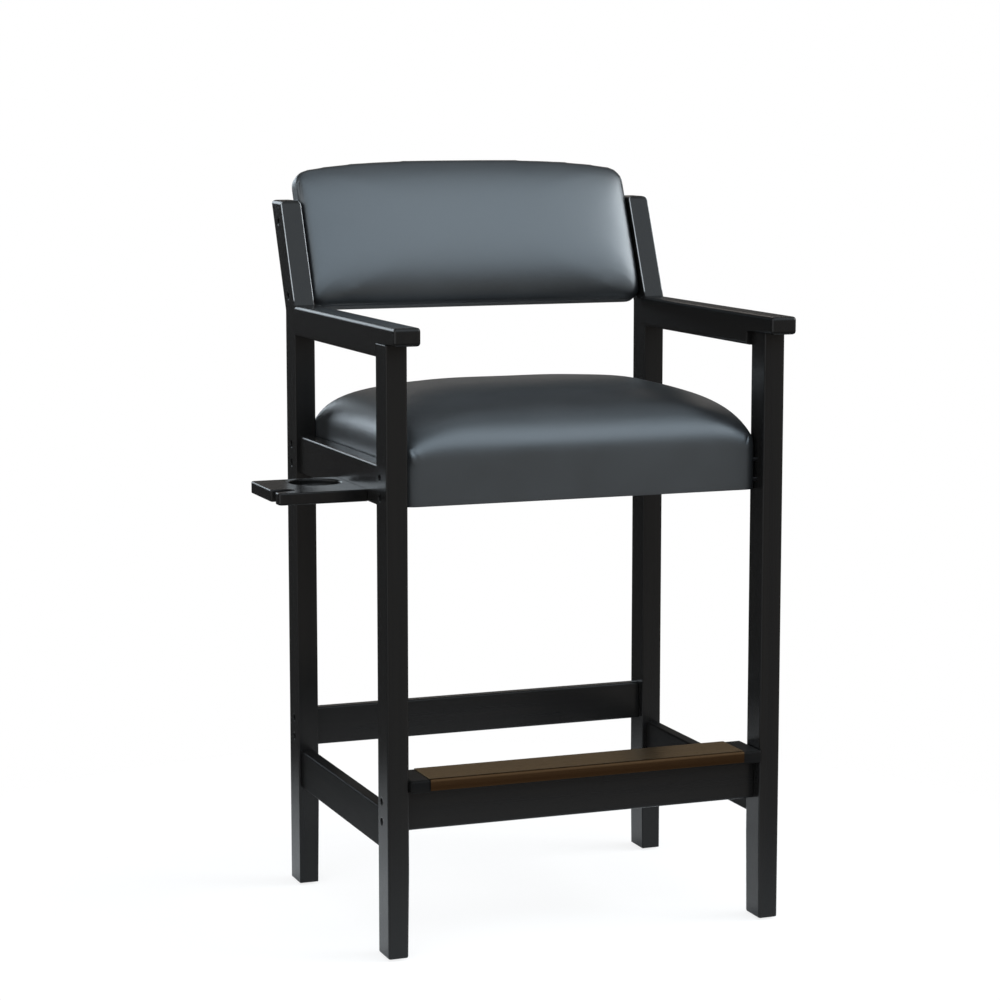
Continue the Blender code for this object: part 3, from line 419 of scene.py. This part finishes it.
# %% Foam, dust cloth and nylon
def make_grainy(name, fineness, dark, bright, roughness, depth):
    """A matt stuff with a fine irregular surface."""
    material, tree, shader, place = new_material(name)
    grain = noise(tree, place, fineness, 4.0, 0.7)
    mottle = remap(tree, grain, 0.35, 0.65)
    dust = use_group(tree, settled_dust, {"Vector": place, "Amount": 0.1})["Dust"]
    stuff = mix_colours(tree, dust, mix_colours(tree, mottle, dark, bright), DUST_GREY)
    bump = add(tree, "Bump", {"Height": grain, "Strength": 0.5, "Distance": depth})
    tree.links.new(stuff, shader.inputs["Base Color"])
    tree.links.new(remap(tree, mottle, 0.0, 1.0, roughness, roughness - 0.1),
                   shader.inputs["Roughness"])
    tree.links.new(bump.outputs["Normal"], shader.inputs["Normal"])
    return material


cut_foam = make_grainy("cut_foam", 900.0, (0.62, 0.57, 0.40, 1), (0.80, 0.76, 0.60, 1),
                       0.95, 0.0006)
lining_cloth = make_grainy("lining_cloth", 1500.0, (0.008, 0.008, 0.009, 1),
                           (0.022, 0.022, 0.023, 1), 0.95, 0.0004)
glide_nylon = make_grainy("glide_nylon", 1200.0, (0.020, 0.020, 0.020, 1),
                          (0.034, 0.034, 0.034, 1), 0.55, 0.0001)
print("finishes:", cut_foam.name, lining_cloth.name, glide_nylon.name)

# %% [markdown]
# ## Which finish goes where
# The record of the model names a finish for each node. Only the lacquer needs more: its grain has
# to run the long way of each board, and that is the longest side of the board's box. The foot
# board and the side stretchers get the scuffed variant, and the back legs the one with a painted
# highlight along the front edges of their posts.

# %% Give every node its material
LACQUER_BY_AXIS = (lacquer_crosswise, lacquer_lengthwise, lacquer_upright)
FINISHES = {
    "faux_leather": panel_leather, "bronze_plate": brushed_bronze, "dark_steel": black_steel,
    "raw_wood": bare_wood, "foam": cut_foam, "dust_cloth": lining_cloth, "nylon": glide_nylon,
}
# Scuffed lacquer for the worn parts; the back legs get the lacquer with the painted edge
# highlight.
WORN_AND_PAINTED_HIGHLIGHT = {
    "foot_board": scuffed_crosswise, "side_stretcher_left": scuffed_lengthwise,
    "side_stretcher_right": scuffed_lengthwise, "back_leg_left": lacquer_posts_painted_highlight,
    "back_leg_right": lacquer_posts_painted_highlight,
}

for subpart in frame["record"]["subparts"]:
    node = nodes[subpart["node"]]
    low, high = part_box(subpart["node"])
    longest = max(range(3), key=lambda axis: high[axis] - low[axis])
    finish = FINISHES.get(subpart["material_slot"], LACQUER_BY_AXIS[longest])
    finish = WORN_AND_PAINTED_HIGHLIGHT.get(subpart["node"], finish)
    node.data.materials.clear()
    node.data.materials.append(finish)

# %% [markdown]
# ## Cushions, from a drawn form to a padded one
# On the real chair a vinyl cover is pulled over foam and stapled to a board, so the band that
# lies on the wood is tight and the crown swells. The model's covers have that form in a few large
# facets, which would show in the sheen. Each cushion is drawn again as closely spaced rings. The
# lowest ring has the model's outline; the rings above it shrink along a rounded profile, and
# their corners get rounder towards the top, as foam under a stretched cover does.

# %% Draw one ring of a cushion
CORNER_STEPS = 14
SIDE_STEPS = 40


def outline(half, low, high, radius, pull_in):
    """Points round a rectangle with round corners and sides that are drawn in."""
    reach = half - radius
    turns = ((reach, low + radius, -90), (reach, high - radius, 0),
             (-reach, high - radius, 90), (-reach, low + radius, 180))
    corners = []
    for x, y, first in turns:
        angles = [math.radians(first + 90 * i / CORNER_STEPS) for i in range(CORNER_STEPS + 1)]
        corners.append([Vector((x + radius * math.cos(a), y + radius * math.sin(a)))
                        for a in angles])
    inward = [Vector((-1, 0)), Vector((0, -1)), Vector((1, 0)), Vector((0, 1))]
    ring = []
    for side, corner in enumerate(corners):
        ring += corner
        begin, finish = corner[-1], corners[(side + 1) % 4][0]
        for i in range(1, SIDE_STEPS):
            share = i / SIDE_STEPS
            ring.append(begin.lerp(finish, share)
                        + inward[side] * pull_in * math.sin(math.pi * share))
    return ring


# %% Stack the rings into a crowned form
DOME_STEPS = 40
PULL_IN = 0.003         # m, how far the sides are drawn in between the corners
PULLED_BY = 0.4         # share of the crown's rise over which they are drawn in


def start_height(shape, p, half, low, high):
    """Where the roll of the crown starts: a blend of the side's height and the corner's."""
    across = abs(p.x) / half
    along = abs(2 * p.y - low - high) / (high - low)
    cornered = min(across, along) ** shape["corner_reach"]
    place = "side" if across >= along else "low" if 2 * p.y < low + high else "high"
    return shape["start"][place] + (shape["start"]["corner"] - shape["start"][place]) * cornered


def crowned(half, low, high, shape, tight_levels):
    """A closed skin: a tight ring at two levels, then rings that shrink up to the crown."""
    skin = bmesh.new()
    tight = outline(half, low, high, shape["corner_r"], 0.0)
    rows = [[(p, level) for p in tight] for level in tight_levels]
    middle = (low + high) / 2
    for step in range(DOME_STEPS):
        angle = math.pi / 2 * step / DOME_STEPS
        rise = math.sin(angle) ** (2 / shape["rise"])
        wide = half * math.cos(angle) ** (2 / shape["boxy_sides"])
        deep = math.cos(angle) ** (2 / shape["boxy_ends"])
        near, far = middle + (low - middle) * deep, middle + (high - middle) * deep
        radius = shape["corner_r"] + (shape["crown_r"] - shape["corner_r"]) * rise
        radius = min(radius, 0.98 * wide, 0.49 * (far - near))
        row = []
        for p in outline(wide, near, far, radius, PULL_IN * min(1.0, rise / PULLED_BY)):
            height = start_height(shape, p, wide, near, far)
            row.append((p, height + rise * (shape["crown"] - height)))
        rows.append(row)
    arch = shape.get("arch", 0.0)
    made = []
    for row in rows:
        made.append([])
        for p, height in row:
            drop = arch * (abs(p.x) / half) ** 3 * (p.y - low) / (high - low)
            made[-1].append(skin.verts.new((p.x, p.y - drop, height)))
    for lower, upper in zip(made, made[1:]):
        for i in range(len(lower)):
            j = (i + 1) % len(lower)
            skin.faces.new((lower[i], lower[j], upper[j], upper[i]))
    skin.faces.new(made[0][::-1])
    skin.faces.new(made[-1])
    return skin


# %% Relax the points of a mesh
RELAX_TIMES = 20


def relaxed(mesh, values, softness):
    """Each row of values drawn towards the mean of its neighbours, as far as it is soft."""
    ends = np.empty(len(mesh.edges) * 2, dtype=int)
    mesh.edges.foreach_get("vertices", ends)
    first, second = ends.reshape(-1, 2).T
    share = 0.5 * softness[:, None]
    count = np.bincount(ends, minlength=len(values))[:, None]
    for _ in range(RELAX_TIMES):
        total = np.stack([np.bincount(first, column[second], len(values))
                          + np.bincount(second, column[first], len(values))
                          for column in values.T], axis=1)
        values = values + (total / count - values) * share
    return values


# %% Remesh a form into even squares
LAY_TIMES = 2           # how often the squares are relaxed and laid back onto the form


def points(mesh):
    flat = np.empty(len(mesh.vertices) * 3)
    mesh.vertices.foreach_get("co", flat)
    return flat.reshape(-1, 3)


def set_points(mesh, places):
    mesh.vertices.foreach_set("co", places.ravel())
    mesh.update()


def new_piece(name, bm):
    mesh = bpy.data.meshes.new(name)
    bm.to_mesh(mesh)
    piece = bpy.data.objects.new(name, mesh)
    bpy.context.scene.collection.objects.link(piece)
    return piece


def apply_modifiers(piece):
    bpy.context.view_layer.update()
    shown = piece.evaluated_get(bpy.context.evaluated_depsgraph_get())
    mesh = bpy.data.meshes.new_from_object(shown)
    piece.modifiers.clear()
    piece.data = mesh


def padded_form(name, skin, square):
    """The skin in even squares, which are laid back onto it."""
    piece = new_piece(name, skin)
    surface = BVHTree.FromBMesh(skin)
    remesh = piece.modifiers.new("even squares", "REMESH")
    remesh.mode = "VOXEL"
    remesh.voxel_size = square
    apply_modifiers(piece)
    mesh = piece.data
    for _ in range(LAY_TIMES):
        set_points(mesh, relaxed(mesh, points(mesh), np.ones(len(mesh.vertices))))
        for vertex in mesh.vertices:
            vertex.co = surface.find_nearest(vertex.co)[0]
    return piece


# %% [markdown]
# ## Filling the cushion with air
# Blender's cloth solver can press on a closed mesh from inside. The points of the stapled band
# are pinned, and the others start two millimetres in. The solver knows air but no foam, so a
# stretched skin may dent where foam would hold it out. Therefore only the swelling is kept: how
# far each point stands proud of the drawn form, capped, and evened out between neighbours. Where
# the skin stays inside the drawn form, as on the back, that form is kept.

# %% Simulate the filling
SINK = 0.002            # m, how far the padded part is drawn in first
MOST_PROUD = 0.002      # m, cap on the swelling beyond the drawn form
PRESSURE = 4.0
STRETCH_STIFFNESS = 20
BEND_STIFFNESS = 2
SIM_FRAMES = 20


def swell(piece, softness):
    """Draw the padded part in, then let air pressure fill it. Softness is 0 where it is held."""
    held = piece.vertex_groups.new(name="held")
    for index, soft in enumerate(softness):
        held.add([index], 1.0 - soft, "REPLACE")
    drawn = points(piece.data)
    normals = np.array([vertex.normal for vertex in piece.data.vertices])
    set_points(piece.data, drawn - normals * SINK * softness[:, None])
    cloth = piece.modifiers.new("filling", "CLOTH")
    cloth.settings.vertex_group_mass = held.name
    cloth.settings.use_pressure = True
    cloth.settings.uniform_pressure_force = PRESSURE
    cloth.settings.effector_weights.gravity = 0
    cloth.settings.tension_stiffness = STRETCH_STIFFNESS
    cloth.settings.compression_stiffness = STRETCH_STIFFNESS
    cloth.settings.bending_stiffness = BEND_STIFFNESS
    for number in range(1, SIM_FRAMES + 1):
        bpy.context.scene.frame_set(number)
    apply_modifiers(piece)
    piece.vertex_groups.clear()
    proud = ((points(piece.data) - drawn) * normals).sum(axis=1, keepdims=True)
    proud = relaxed(piece.data, np.clip(proud, 0.0, MOST_PROUD), softness)
    set_points(piece.data, drawn + normals * proud)
    return float(proud.max())


def smooth_step(value, low, high):
    share = min(max((value - low) / (high - low), 0.0), 1.0)
    return share * share * (3 - 2 * share)


print("cushion helpers ready")

# %% [markdown]
# ## The seat
# The seat's band is upright and rolls over into the crown. The roll starts lowest at the corners,
# where the cover is pulled down, and highest along the sides, where the foam is fullest. The form
# goes a little below its lower edge, so that the edge can be cut clean.

# %% Make the seat cushion
SPARE = 0.02                # m, extra length below the edge that is cut
SEAT_SQUARE = 0.006         # m, size of the squares
seat_low, seat_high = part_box("seat_cover")
seat_middle = (seat_low + seat_high) / 2
seat_half = (seat_high - seat_low) / 2
deck_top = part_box("seat_deck")[1].z

SEAT = {
    "corner_r": 0.008, "crown_r": 0.12, "boxy_sides": 4.8, "boxy_ends": 3.8, "rise": 1.86,
    "corner_reach": 3.1, "crown": seat_high.z - 0.0015,
    "start": {"low": 0.7542, "high": 0.7475, "side": 0.766, "corner": 0.7467},
}
seat_skin = crowned(seat_half.x, -seat_half.y, seat_half.y, SEAT, (seat_low.z - SPARE, deck_top))
bmesh.ops.translate(seat_skin, verts=seat_skin.verts, vec=(seat_middle.x, seat_middle.y, 0))
seat_cushion = padded_form("seat_cushion", seat_skin, SEAT_SQUARE)
seat_mesh = seat_cushion.data
seat_soft = np.array([smooth_step(v.co.z, deck_top, deck_top + 0.03) for v in seat_mesh.vertices])
set_points(seat_mesh, relaxed(seat_mesh, points(seat_mesh), seat_soft))
proud = swell(seat_cushion, seat_soft)
print("seat cushion:", len(seat_soft), "points, stands proud by", round(proud, 4))

# %% [markdown]
# ## The backrest
# The back leans with the posts, so its form is drawn flat and then stood up: across, up the rake,
# and out of the front of the posts. The lean is read from the core board inside. The top side
# arches. At the sides the cover stays nearly level with the posts, and it rolls furthest back
# along the bottom.

# %% Make the back cushion
BACK_SQUARE = 0.0045        # m, smaller than on the seat, because the roll at its top is tighter
BACK_BOTTOM = 0.0045        # m up the rake, from the top of the arms
BACK_TOP = 0.2505
BACK_REAR = -0.038          # m out of the front of the posts

core = nodes["back_core"].data
facing = max(core.polygons, key=lambda face: face.area * (face.normal.y < 0)).normal.copy()
lean = math.atan2(facing.z, -facing.y)
hinge = Vector((middle_x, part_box("back_leg_left")[0].y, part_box("arm_left")[1].z))
stand_up = Matrix.Translation(hinge) @ Matrix.Rotation(math.pi / 2 - lean, 4, "X")
core_front = max(facing.dot(v.co) for v in core.vertices)

BACK = {
    "corner_r": 0.018, "crown_r": 0.06, "boxy_sides": 4.6, "boxy_ends": 2.5, "rise": 1.8,
    "corner_reach": 3.0, "crown": 0.014, "arch": 0.019,
    "start": {"low": -0.018, "high": -0.015, "side": -0.008, "corner": -0.015},
}
back_skin = crowned(seat_half.x, BACK_BOTTOM, BACK_TOP, BACK,
                    (BACK_REAR - SPARE, core_front - facing.dot(hinge)))
bmesh.ops.transform(back_skin, matrix=stand_up, verts=back_skin.verts)
back_cushion = padded_form("back_cushion", back_skin, BACK_SQUARE)
back_mesh = back_cushion.data
back_soft = np.array([smooth_step(facing.dot(v.co), core_front, core_front + 0.02)
                      for v in back_mesh.vertices])
set_points(back_mesh, relaxed(back_mesh, points(back_mesh), back_soft))
proud = swell(back_cushion, back_soft)
print("back cushion:", len(back_soft), "points, stands proud by", round(proud, 4),
      "lean", round(math.degrees(lean), 2))

# %% [markdown]
# ## Pleats and a seam
# Where the flat vinyl goes round a corner it is folded into a small pleat, and a seam runs along
# the bottom of the back. Such a line is narrower than the squares of the cushions. Therefore the
# faces round the line are split twice and smoothed, and then a groove is pressed into them, with
# a ridge beside it where the vinyl overlaps. A pleat runs out towards its far end.

# %% Where the pleats and the seam run
SEAT_PLEAT = ((0.0150, 0.0028, 0.0092), (0.0199, 0.0, -0.0028))     # in from two sides, above deck
BACK_PLEAT = ((0.0038, 0.2118, -0.0109), (0.0033, 0.1827, -0.0095))     # in from a side, up, out
SEAM_END = (0.014, 0.0046, -0.0204)
SEAT_LAP = (0.003, 0.0, -0.0006)            # from a groove to its ridge, to the side and up
BACK_LAP = (0.0012, 0.0, -0.0026)
SEAM_LAP = 1.4                              # widths of the seam
PLEAT_WIDTH = 0.0024
SEAM_WIDTH = 0.0014

seat_lines = []         # from, to, lap, width, how far the line runs out
back_lines = []
for side in (-1, 1):
    for end in (-1, 1):
        begin, finish = (Vector((seat_middle.x + side * (seat_half.x - across),
                                 seat_middle.y + end * (seat_half.y - along), deck_top + above))
                         for across, along, above in SEAT_PLEAT)
        lap = Vector((side * SEAT_LAP[0], *SEAT_LAP[1:]))
        seat_lines.append((begin, finish, lap, PLEAT_WIDTH, 1.0))
    begin, finish = (stand_up @ Vector((side * (seat_half.x - across), up, out))
                     for across, up, out in BACK_PLEAT)
    lap = stand_up.to_3x3() @ Vector((side * BACK_LAP[0], *BACK_LAP[1:]))
    back_lines.append((begin, finish, lap, PLEAT_WIDTH, 1.0))
across, up, out = SEAM_END
begin, finish = (stand_up @ Vector((side * (seat_half.x - across), up, out)) for side in (-1, 1))
lap = stand_up.to_3x3() @ Vector((0, 0, SEAM_LAP * SEAM_WIDTH))
back_lines.append((begin, finish, lap, SEAM_WIDTH, 0.0))
print("lines:", len(seat_lines), "on the seat,", len(back_lines), "on the back")

# %% Press a line into a skin
FOLD_DEPTH = 0.0013
RIDGE_SHARE = 0.7       # height of the ridge, in depths of the groove
SPLIT_REACH = 3.0       # widths of the line within which faces are split
SPLIT_TIMES = 2
SPLIT_SMOOTHING = 3     # passes over the new points after each split


def press_line(skin, begin, finish, lap, width, run_out):
    """Split the faces round a line, and sink a groove into them with a ridge beside it."""
    run = finish - begin

    def beside(place):
        share = min(max((place - begin).dot(run) / run.length_squared, 0.0), 1.0)
        return place - begin - run * share, share

    for _ in range(SPLIT_TIMES):
        edges = {edge for face in skin.faces
                 if beside(face.calc_center_median())[0].length < SPLIT_REACH * width
                 for edge in face.edges}
        before = set(skin.verts)
        bmesh.ops.subdivide_edges(skin, edges=list(edges), cuts=1, use_grid_fill=True)
        fresh = [vertex for vertex in skin.verts if vertex not in before]
        for _ in range(SPLIT_SMOOTHING):
            bmesh.ops.smooth_vert(skin, verts=fresh, factor=0.5, use_axis_x=True,
                                  use_axis_y=True, use_axis_z=True)
    skin.normal_update()
    steps = {}
    for vertex in skin.verts:
        aside, share = beside(vertex.co)
        groove = smooth_step(aside.length, width, 0.0)
        ridge = smooth_step((aside - lap).length, width, 0.0)
        if groove or ridge:
            height = (RIDGE_SHARE * ridge - groove) * (1 - run_out * share)
            steps[vertex] = vertex.normal * FOLD_DEPTH * height
    for vertex, step in steps.items():
        vertex.co += step


# %% [markdown]
# ## Finishing the cushions
# One subdivision turns the squares into a smooth skin. A plane cuts it where the cover ends, and
# the cut edge is turned in by the thickness of the vinyl. Small holes let the screws through
# where the legs hide them. The cushion then stands for the cover and the foam of the model, and
# rides with the chair's body.

# %% Cut the cover's edge and turn it in
COVER_T = 0.002             # m, thickness of the vinyl
RETURN = 0.008              # m, how far the turned edge runs back inside
SHARP_FROM = math.radians(50)


def cut_edge(skin, place, outward):
    """Cut away what lies beyond a plane, and turn the edge in."""
    everything = skin.verts[:] + skin.edges[:] + skin.faces[:]
    bmesh.ops.bisect_plane(skin, geom=everything, plane_co=place, plane_no=outward,
                           clear_outer=True)
    rim = [edge for edge in skin.edges if edge.is_boundary]
    centre = sum((v.co for edge in rim for v in edge.verts), Vector()) / (2 * len(rim))
    for shrink, rise in ((COVER_T, 0.0), (0.0, RETURN)):
        turned = bmesh.ops.extrude_edge_only(skin, edges=rim)["geom"]
        rim = [part for part in turned if isinstance(part, bmesh.types.BMEdge)]
        for vertex in [part for part in turned if isinstance(part, bmesh.types.BMVert)]:
            inward = (centre - vertex.co).normalized()
            vertex.co += inward * shrink - outward * rise


def pierce(skin, screws):
    """Open the cover where screws pass from a leg into the board inside."""
    gone = set()
    for name in screws:
        low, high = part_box(name)
        middle = (low + high) / 2
        for face in skin.faces:
            place = face.calc_center_median()
            beside = math.hypot(place.y - middle.y, place.z - middle.z)
            if beside < (high.z - low.z) / 2 and low.x < place.x < high.x:
                gone.add(face)
    bmesh.ops.delete(skin, geom=list(gone), context="FACES")


# %% Smooth, colour and place the cushions
def finish_cushion(piece, lines, place, outward, screws, stands_for):
    smooth = piece.modifiers.new("smooth skin", "SUBSURF")
    smooth.levels = 1
    apply_modifiers(piece)
    skin = bmesh.new()
    skin.from_mesh(piece.data)
    for line in lines:
        press_line(skin, *line)
    cut_edge(skin, place, outward)
    pierce(skin, screws)
    bmesh.ops.recalc_face_normals(skin, faces=skin.faces)
    skin.to_mesh(piece.data)
    piece.data.shade_smooth()
    piece.data.set_sharp_from_angle(angle=SHARP_FROM)
    piece.data.materials.clear()
    piece.data.materials.append(cushion_leather)
    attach(piece, "root")
    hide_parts(*stands_for)


seat_screws = [name for name in nodes if name.startswith("seat_") and "_bolt_" in name]
back_screws = [name for name in nodes if name.startswith("backrest_bolt_")]
finish_cushion(seat_cushion, seat_lines, seat_low, Vector((0, 0, -1)), seat_screws,
               ("seat_cover", "seat_foam"))
finish_cushion(back_cushion, back_lines, stand_up @ Vector((0, 0, BACK_REAR)), -facing,
               back_screws, ("back_cover", "back_foam"))
print("cushion faces:", len(seat_cushion.data.polygons), len(back_cushion.data.polygons))

# %% [markdown]
# ## Floor, background and light
# The photograph shows the chair cut out on white, but its black wood and leather mirror the
# studio around it: a broad soft light in front, one on the right, a dim one on the left, a
# dim ceiling and a few paler places in a dark room. Lamps could stand there, but their edges
# would show in the sheen. Here the studio is painted on the world as patches with blurred
# borders, placed by turn and tilt. The camera still sees plain white, and glossy surfaces see a
# share of that white.

# %% Group: a patch of soft light
studio_patch, given, result = new_group(
    "studio patch",
    {"Direction": "vector", "Turn": "value", "Tilt": "value", "Wide": "value", "High": "value",
     "Blur": "value"}, {"Light": "value"})


def blurred(distance, reach, blur):
    """1 within reach, falling smoothly to 0 over the blur."""
    spans = {"Value": distance, "From Min": reach,
             "From Max": calculate(studio_patch, "ADD", reach, blur), "To Min": 1.0, "To Max": 0.0}
    return add(studio_patch, "MapRange", spans, interpolation_type="SMOOTHSTEP").outputs["Result"]


axes = add(studio_patch, "SeparateXYZ", {"Vector": given["Direction"]}).outputs
to_front = calculate(studio_patch, "MULTIPLY", axes["Y"], -1.0)
turn = calculate(studio_patch, "ARCTAN2", axes["X"], to_front)
beside = add(studio_patch, "Math", {0: calculate(studio_patch, "SUBTRACT", turn, given["Turn"]),
                                    1: math.pi, 2: -math.pi}, operation="WRAP").outputs[0]
tilt = calculate(studio_patch, "ARCSINE", axes["Z"])
above = calculate(studio_patch, "SUBTRACT", tilt, given["Tilt"])
patch = calculate(studio_patch, "MULTIPLY",
                  blurred(calculate(studio_patch, "ABSOLUTE", beside), given["Wide"],
                          given["Blur"]),
                  blurred(calculate(studio_patch, "ABSOLUTE", above), given["High"],
                          given["Blur"]))
studio_patch.links.new(patch, result["Light"])
print("group:", studio_patch.name)

# %% The studio on the world
FILL = 0.22             # even light from all sides
MIRRORED = 0.060        # share of the white that a glossy surface shows
COOL = (0.82, 0.92, 1.0)
NEUTRAL = (0.97, 0.99, 1.0)
WARM = (1.0, 0.91, 0.83)
STUDIO = {              # turn, tilt, half width, half height, blur in degrees; brightness; colour
    "front": (5, 39.5, 48, 9, 27, 2.75, COOL),
    "right": (74, 25, 10, 8, 14, 9.8, NEUTRAL),
    "left": (-80, 12, 20, 12, 20, 2.2, NEUTRAL),
    "ceiling": (0, 90, 180, 18, 30, 0.75, COOL),
    "behind": (-165, 10.5, 14, 5.5, 4, 4.2, COOL),
    "backdrop": (157, 21, 14, 3, 4, 0.90, WARM),
    "floor in front": (15, -8, 60, 8, 10, 0.46, WARM),
}

world = bpy.data.worlds.new("studio")
bpy.context.scene.world = world
world.use_nodes = True
sky = world.node_tree
sky.nodes.clear()
direction = add(sky, "TexCoord").outputs["Generated"]
path = add(sky, "LightPath").outputs
even = remap(sky, path["Is Glossy Ray"], 0.0, 1.0, FILL, MIRRORED)
light = add(sky, "CombineXYZ", {"X": even, "Y": even, "Z": even}).outputs["Vector"]
for name, (*angles, brightness, colour) in STUDIO.items():
    turn, tilt, wide, high, blur = (math.radians(angle) for angle in angles)
    patch = use_group(sky, studio_patch, {"Direction": direction, "Turn": turn, "Tilt": tilt,
                                          "Wide": wide, "High": high, "Blur": blur})["Light"]
    strength = calculate(sky, "MULTIPLY", patch, brightness)
    shine = add(sky, "VectorMath", {0: colour, "Scale": strength},
                operation="SCALE").outputs["Vector"]
    light = add(sky, "VectorMath", {0: light, 1: shine}).outputs["Vector"]
plain = calculate(sky, "MAXIMUM", path["Is Camera Ray"], path["Is Transmission Ray"])
seen = mix_colours(sky, plain, light, (1, 1, 1, 1))
white = add(sky, "Background", {"Color": seen, "Strength": 1.0})
sky_out = add(sky, "OutputWorld")
sky.links.new(white.outputs["Background"], sky_out.inputs["Surface"])
print("studio patches:", ", ".join(STUDIO))

# %% [markdown]
# The floor is a pale disc that fades into the background. The camera sees most of it as plain
# white and a share of its own shading, which keeps the chair's soft shadow.

# %% Floor that fades into the background
FLOOR_R = 1.2           # m
FADE_R = 0.42           # the floor starts to fade into the background here
FADED_R = FLOOR_R * 0.95
SHADOW_SHARE = 0.20     # how much of the floor's own shading the camera sees

floor_mesh = bmesh.new()
bmesh.ops.create_circle(floor_mesh, cap_ends=True, segments=96, radius=FLOOR_R)
floor = new_piece("floor", floor_mesh)
floor_material, tree, shader, place = new_material("pale_floor")
shader.inputs["Base Color"].default_value = (0.93, 0.93, 0.93, 1)
shader.inputs["Roughness"].default_value = 0.9
shader.inputs["Specular IOR Level"].default_value = 0.1
path = add(tree, "LightPath").outputs
seen = calculate(tree, "MULTIPLY", path["Is Camera Ray"], 1 - SHADOW_SHARE)
glow = add(tree, "Emission", {"Color": (1, 1, 1, 1), "Strength": 1.0})
near = add(tree, "MixShader", {0: seen, 1: shader.outputs["BSDF"], 2: glow.outputs["Emission"]})
distance = add(tree, "VectorMath", {0: place}, operation="LENGTH").outputs["Value"]
fade = remap(tree, distance, FADE_R, FADED_R)
beyond = add(tree, "BsdfTransparent")
blend = add(tree, "MixShader", {0: fade, 1: near.outputs["Shader"], 2: beyond.outputs["BSDF"]})
tree.links.new(blend.outputs["Shader"], tree.nodes["Material Output"].inputs["Surface"])
floor.data.materials.append(floor_material)
print("floor radius", FLOOR_R)

# %% [markdown]
# ## View settings
# The picture keeps plain colours, without a film look.

# %% View settings
bpy.context.scene.view_settings.view_transform = "Standard"
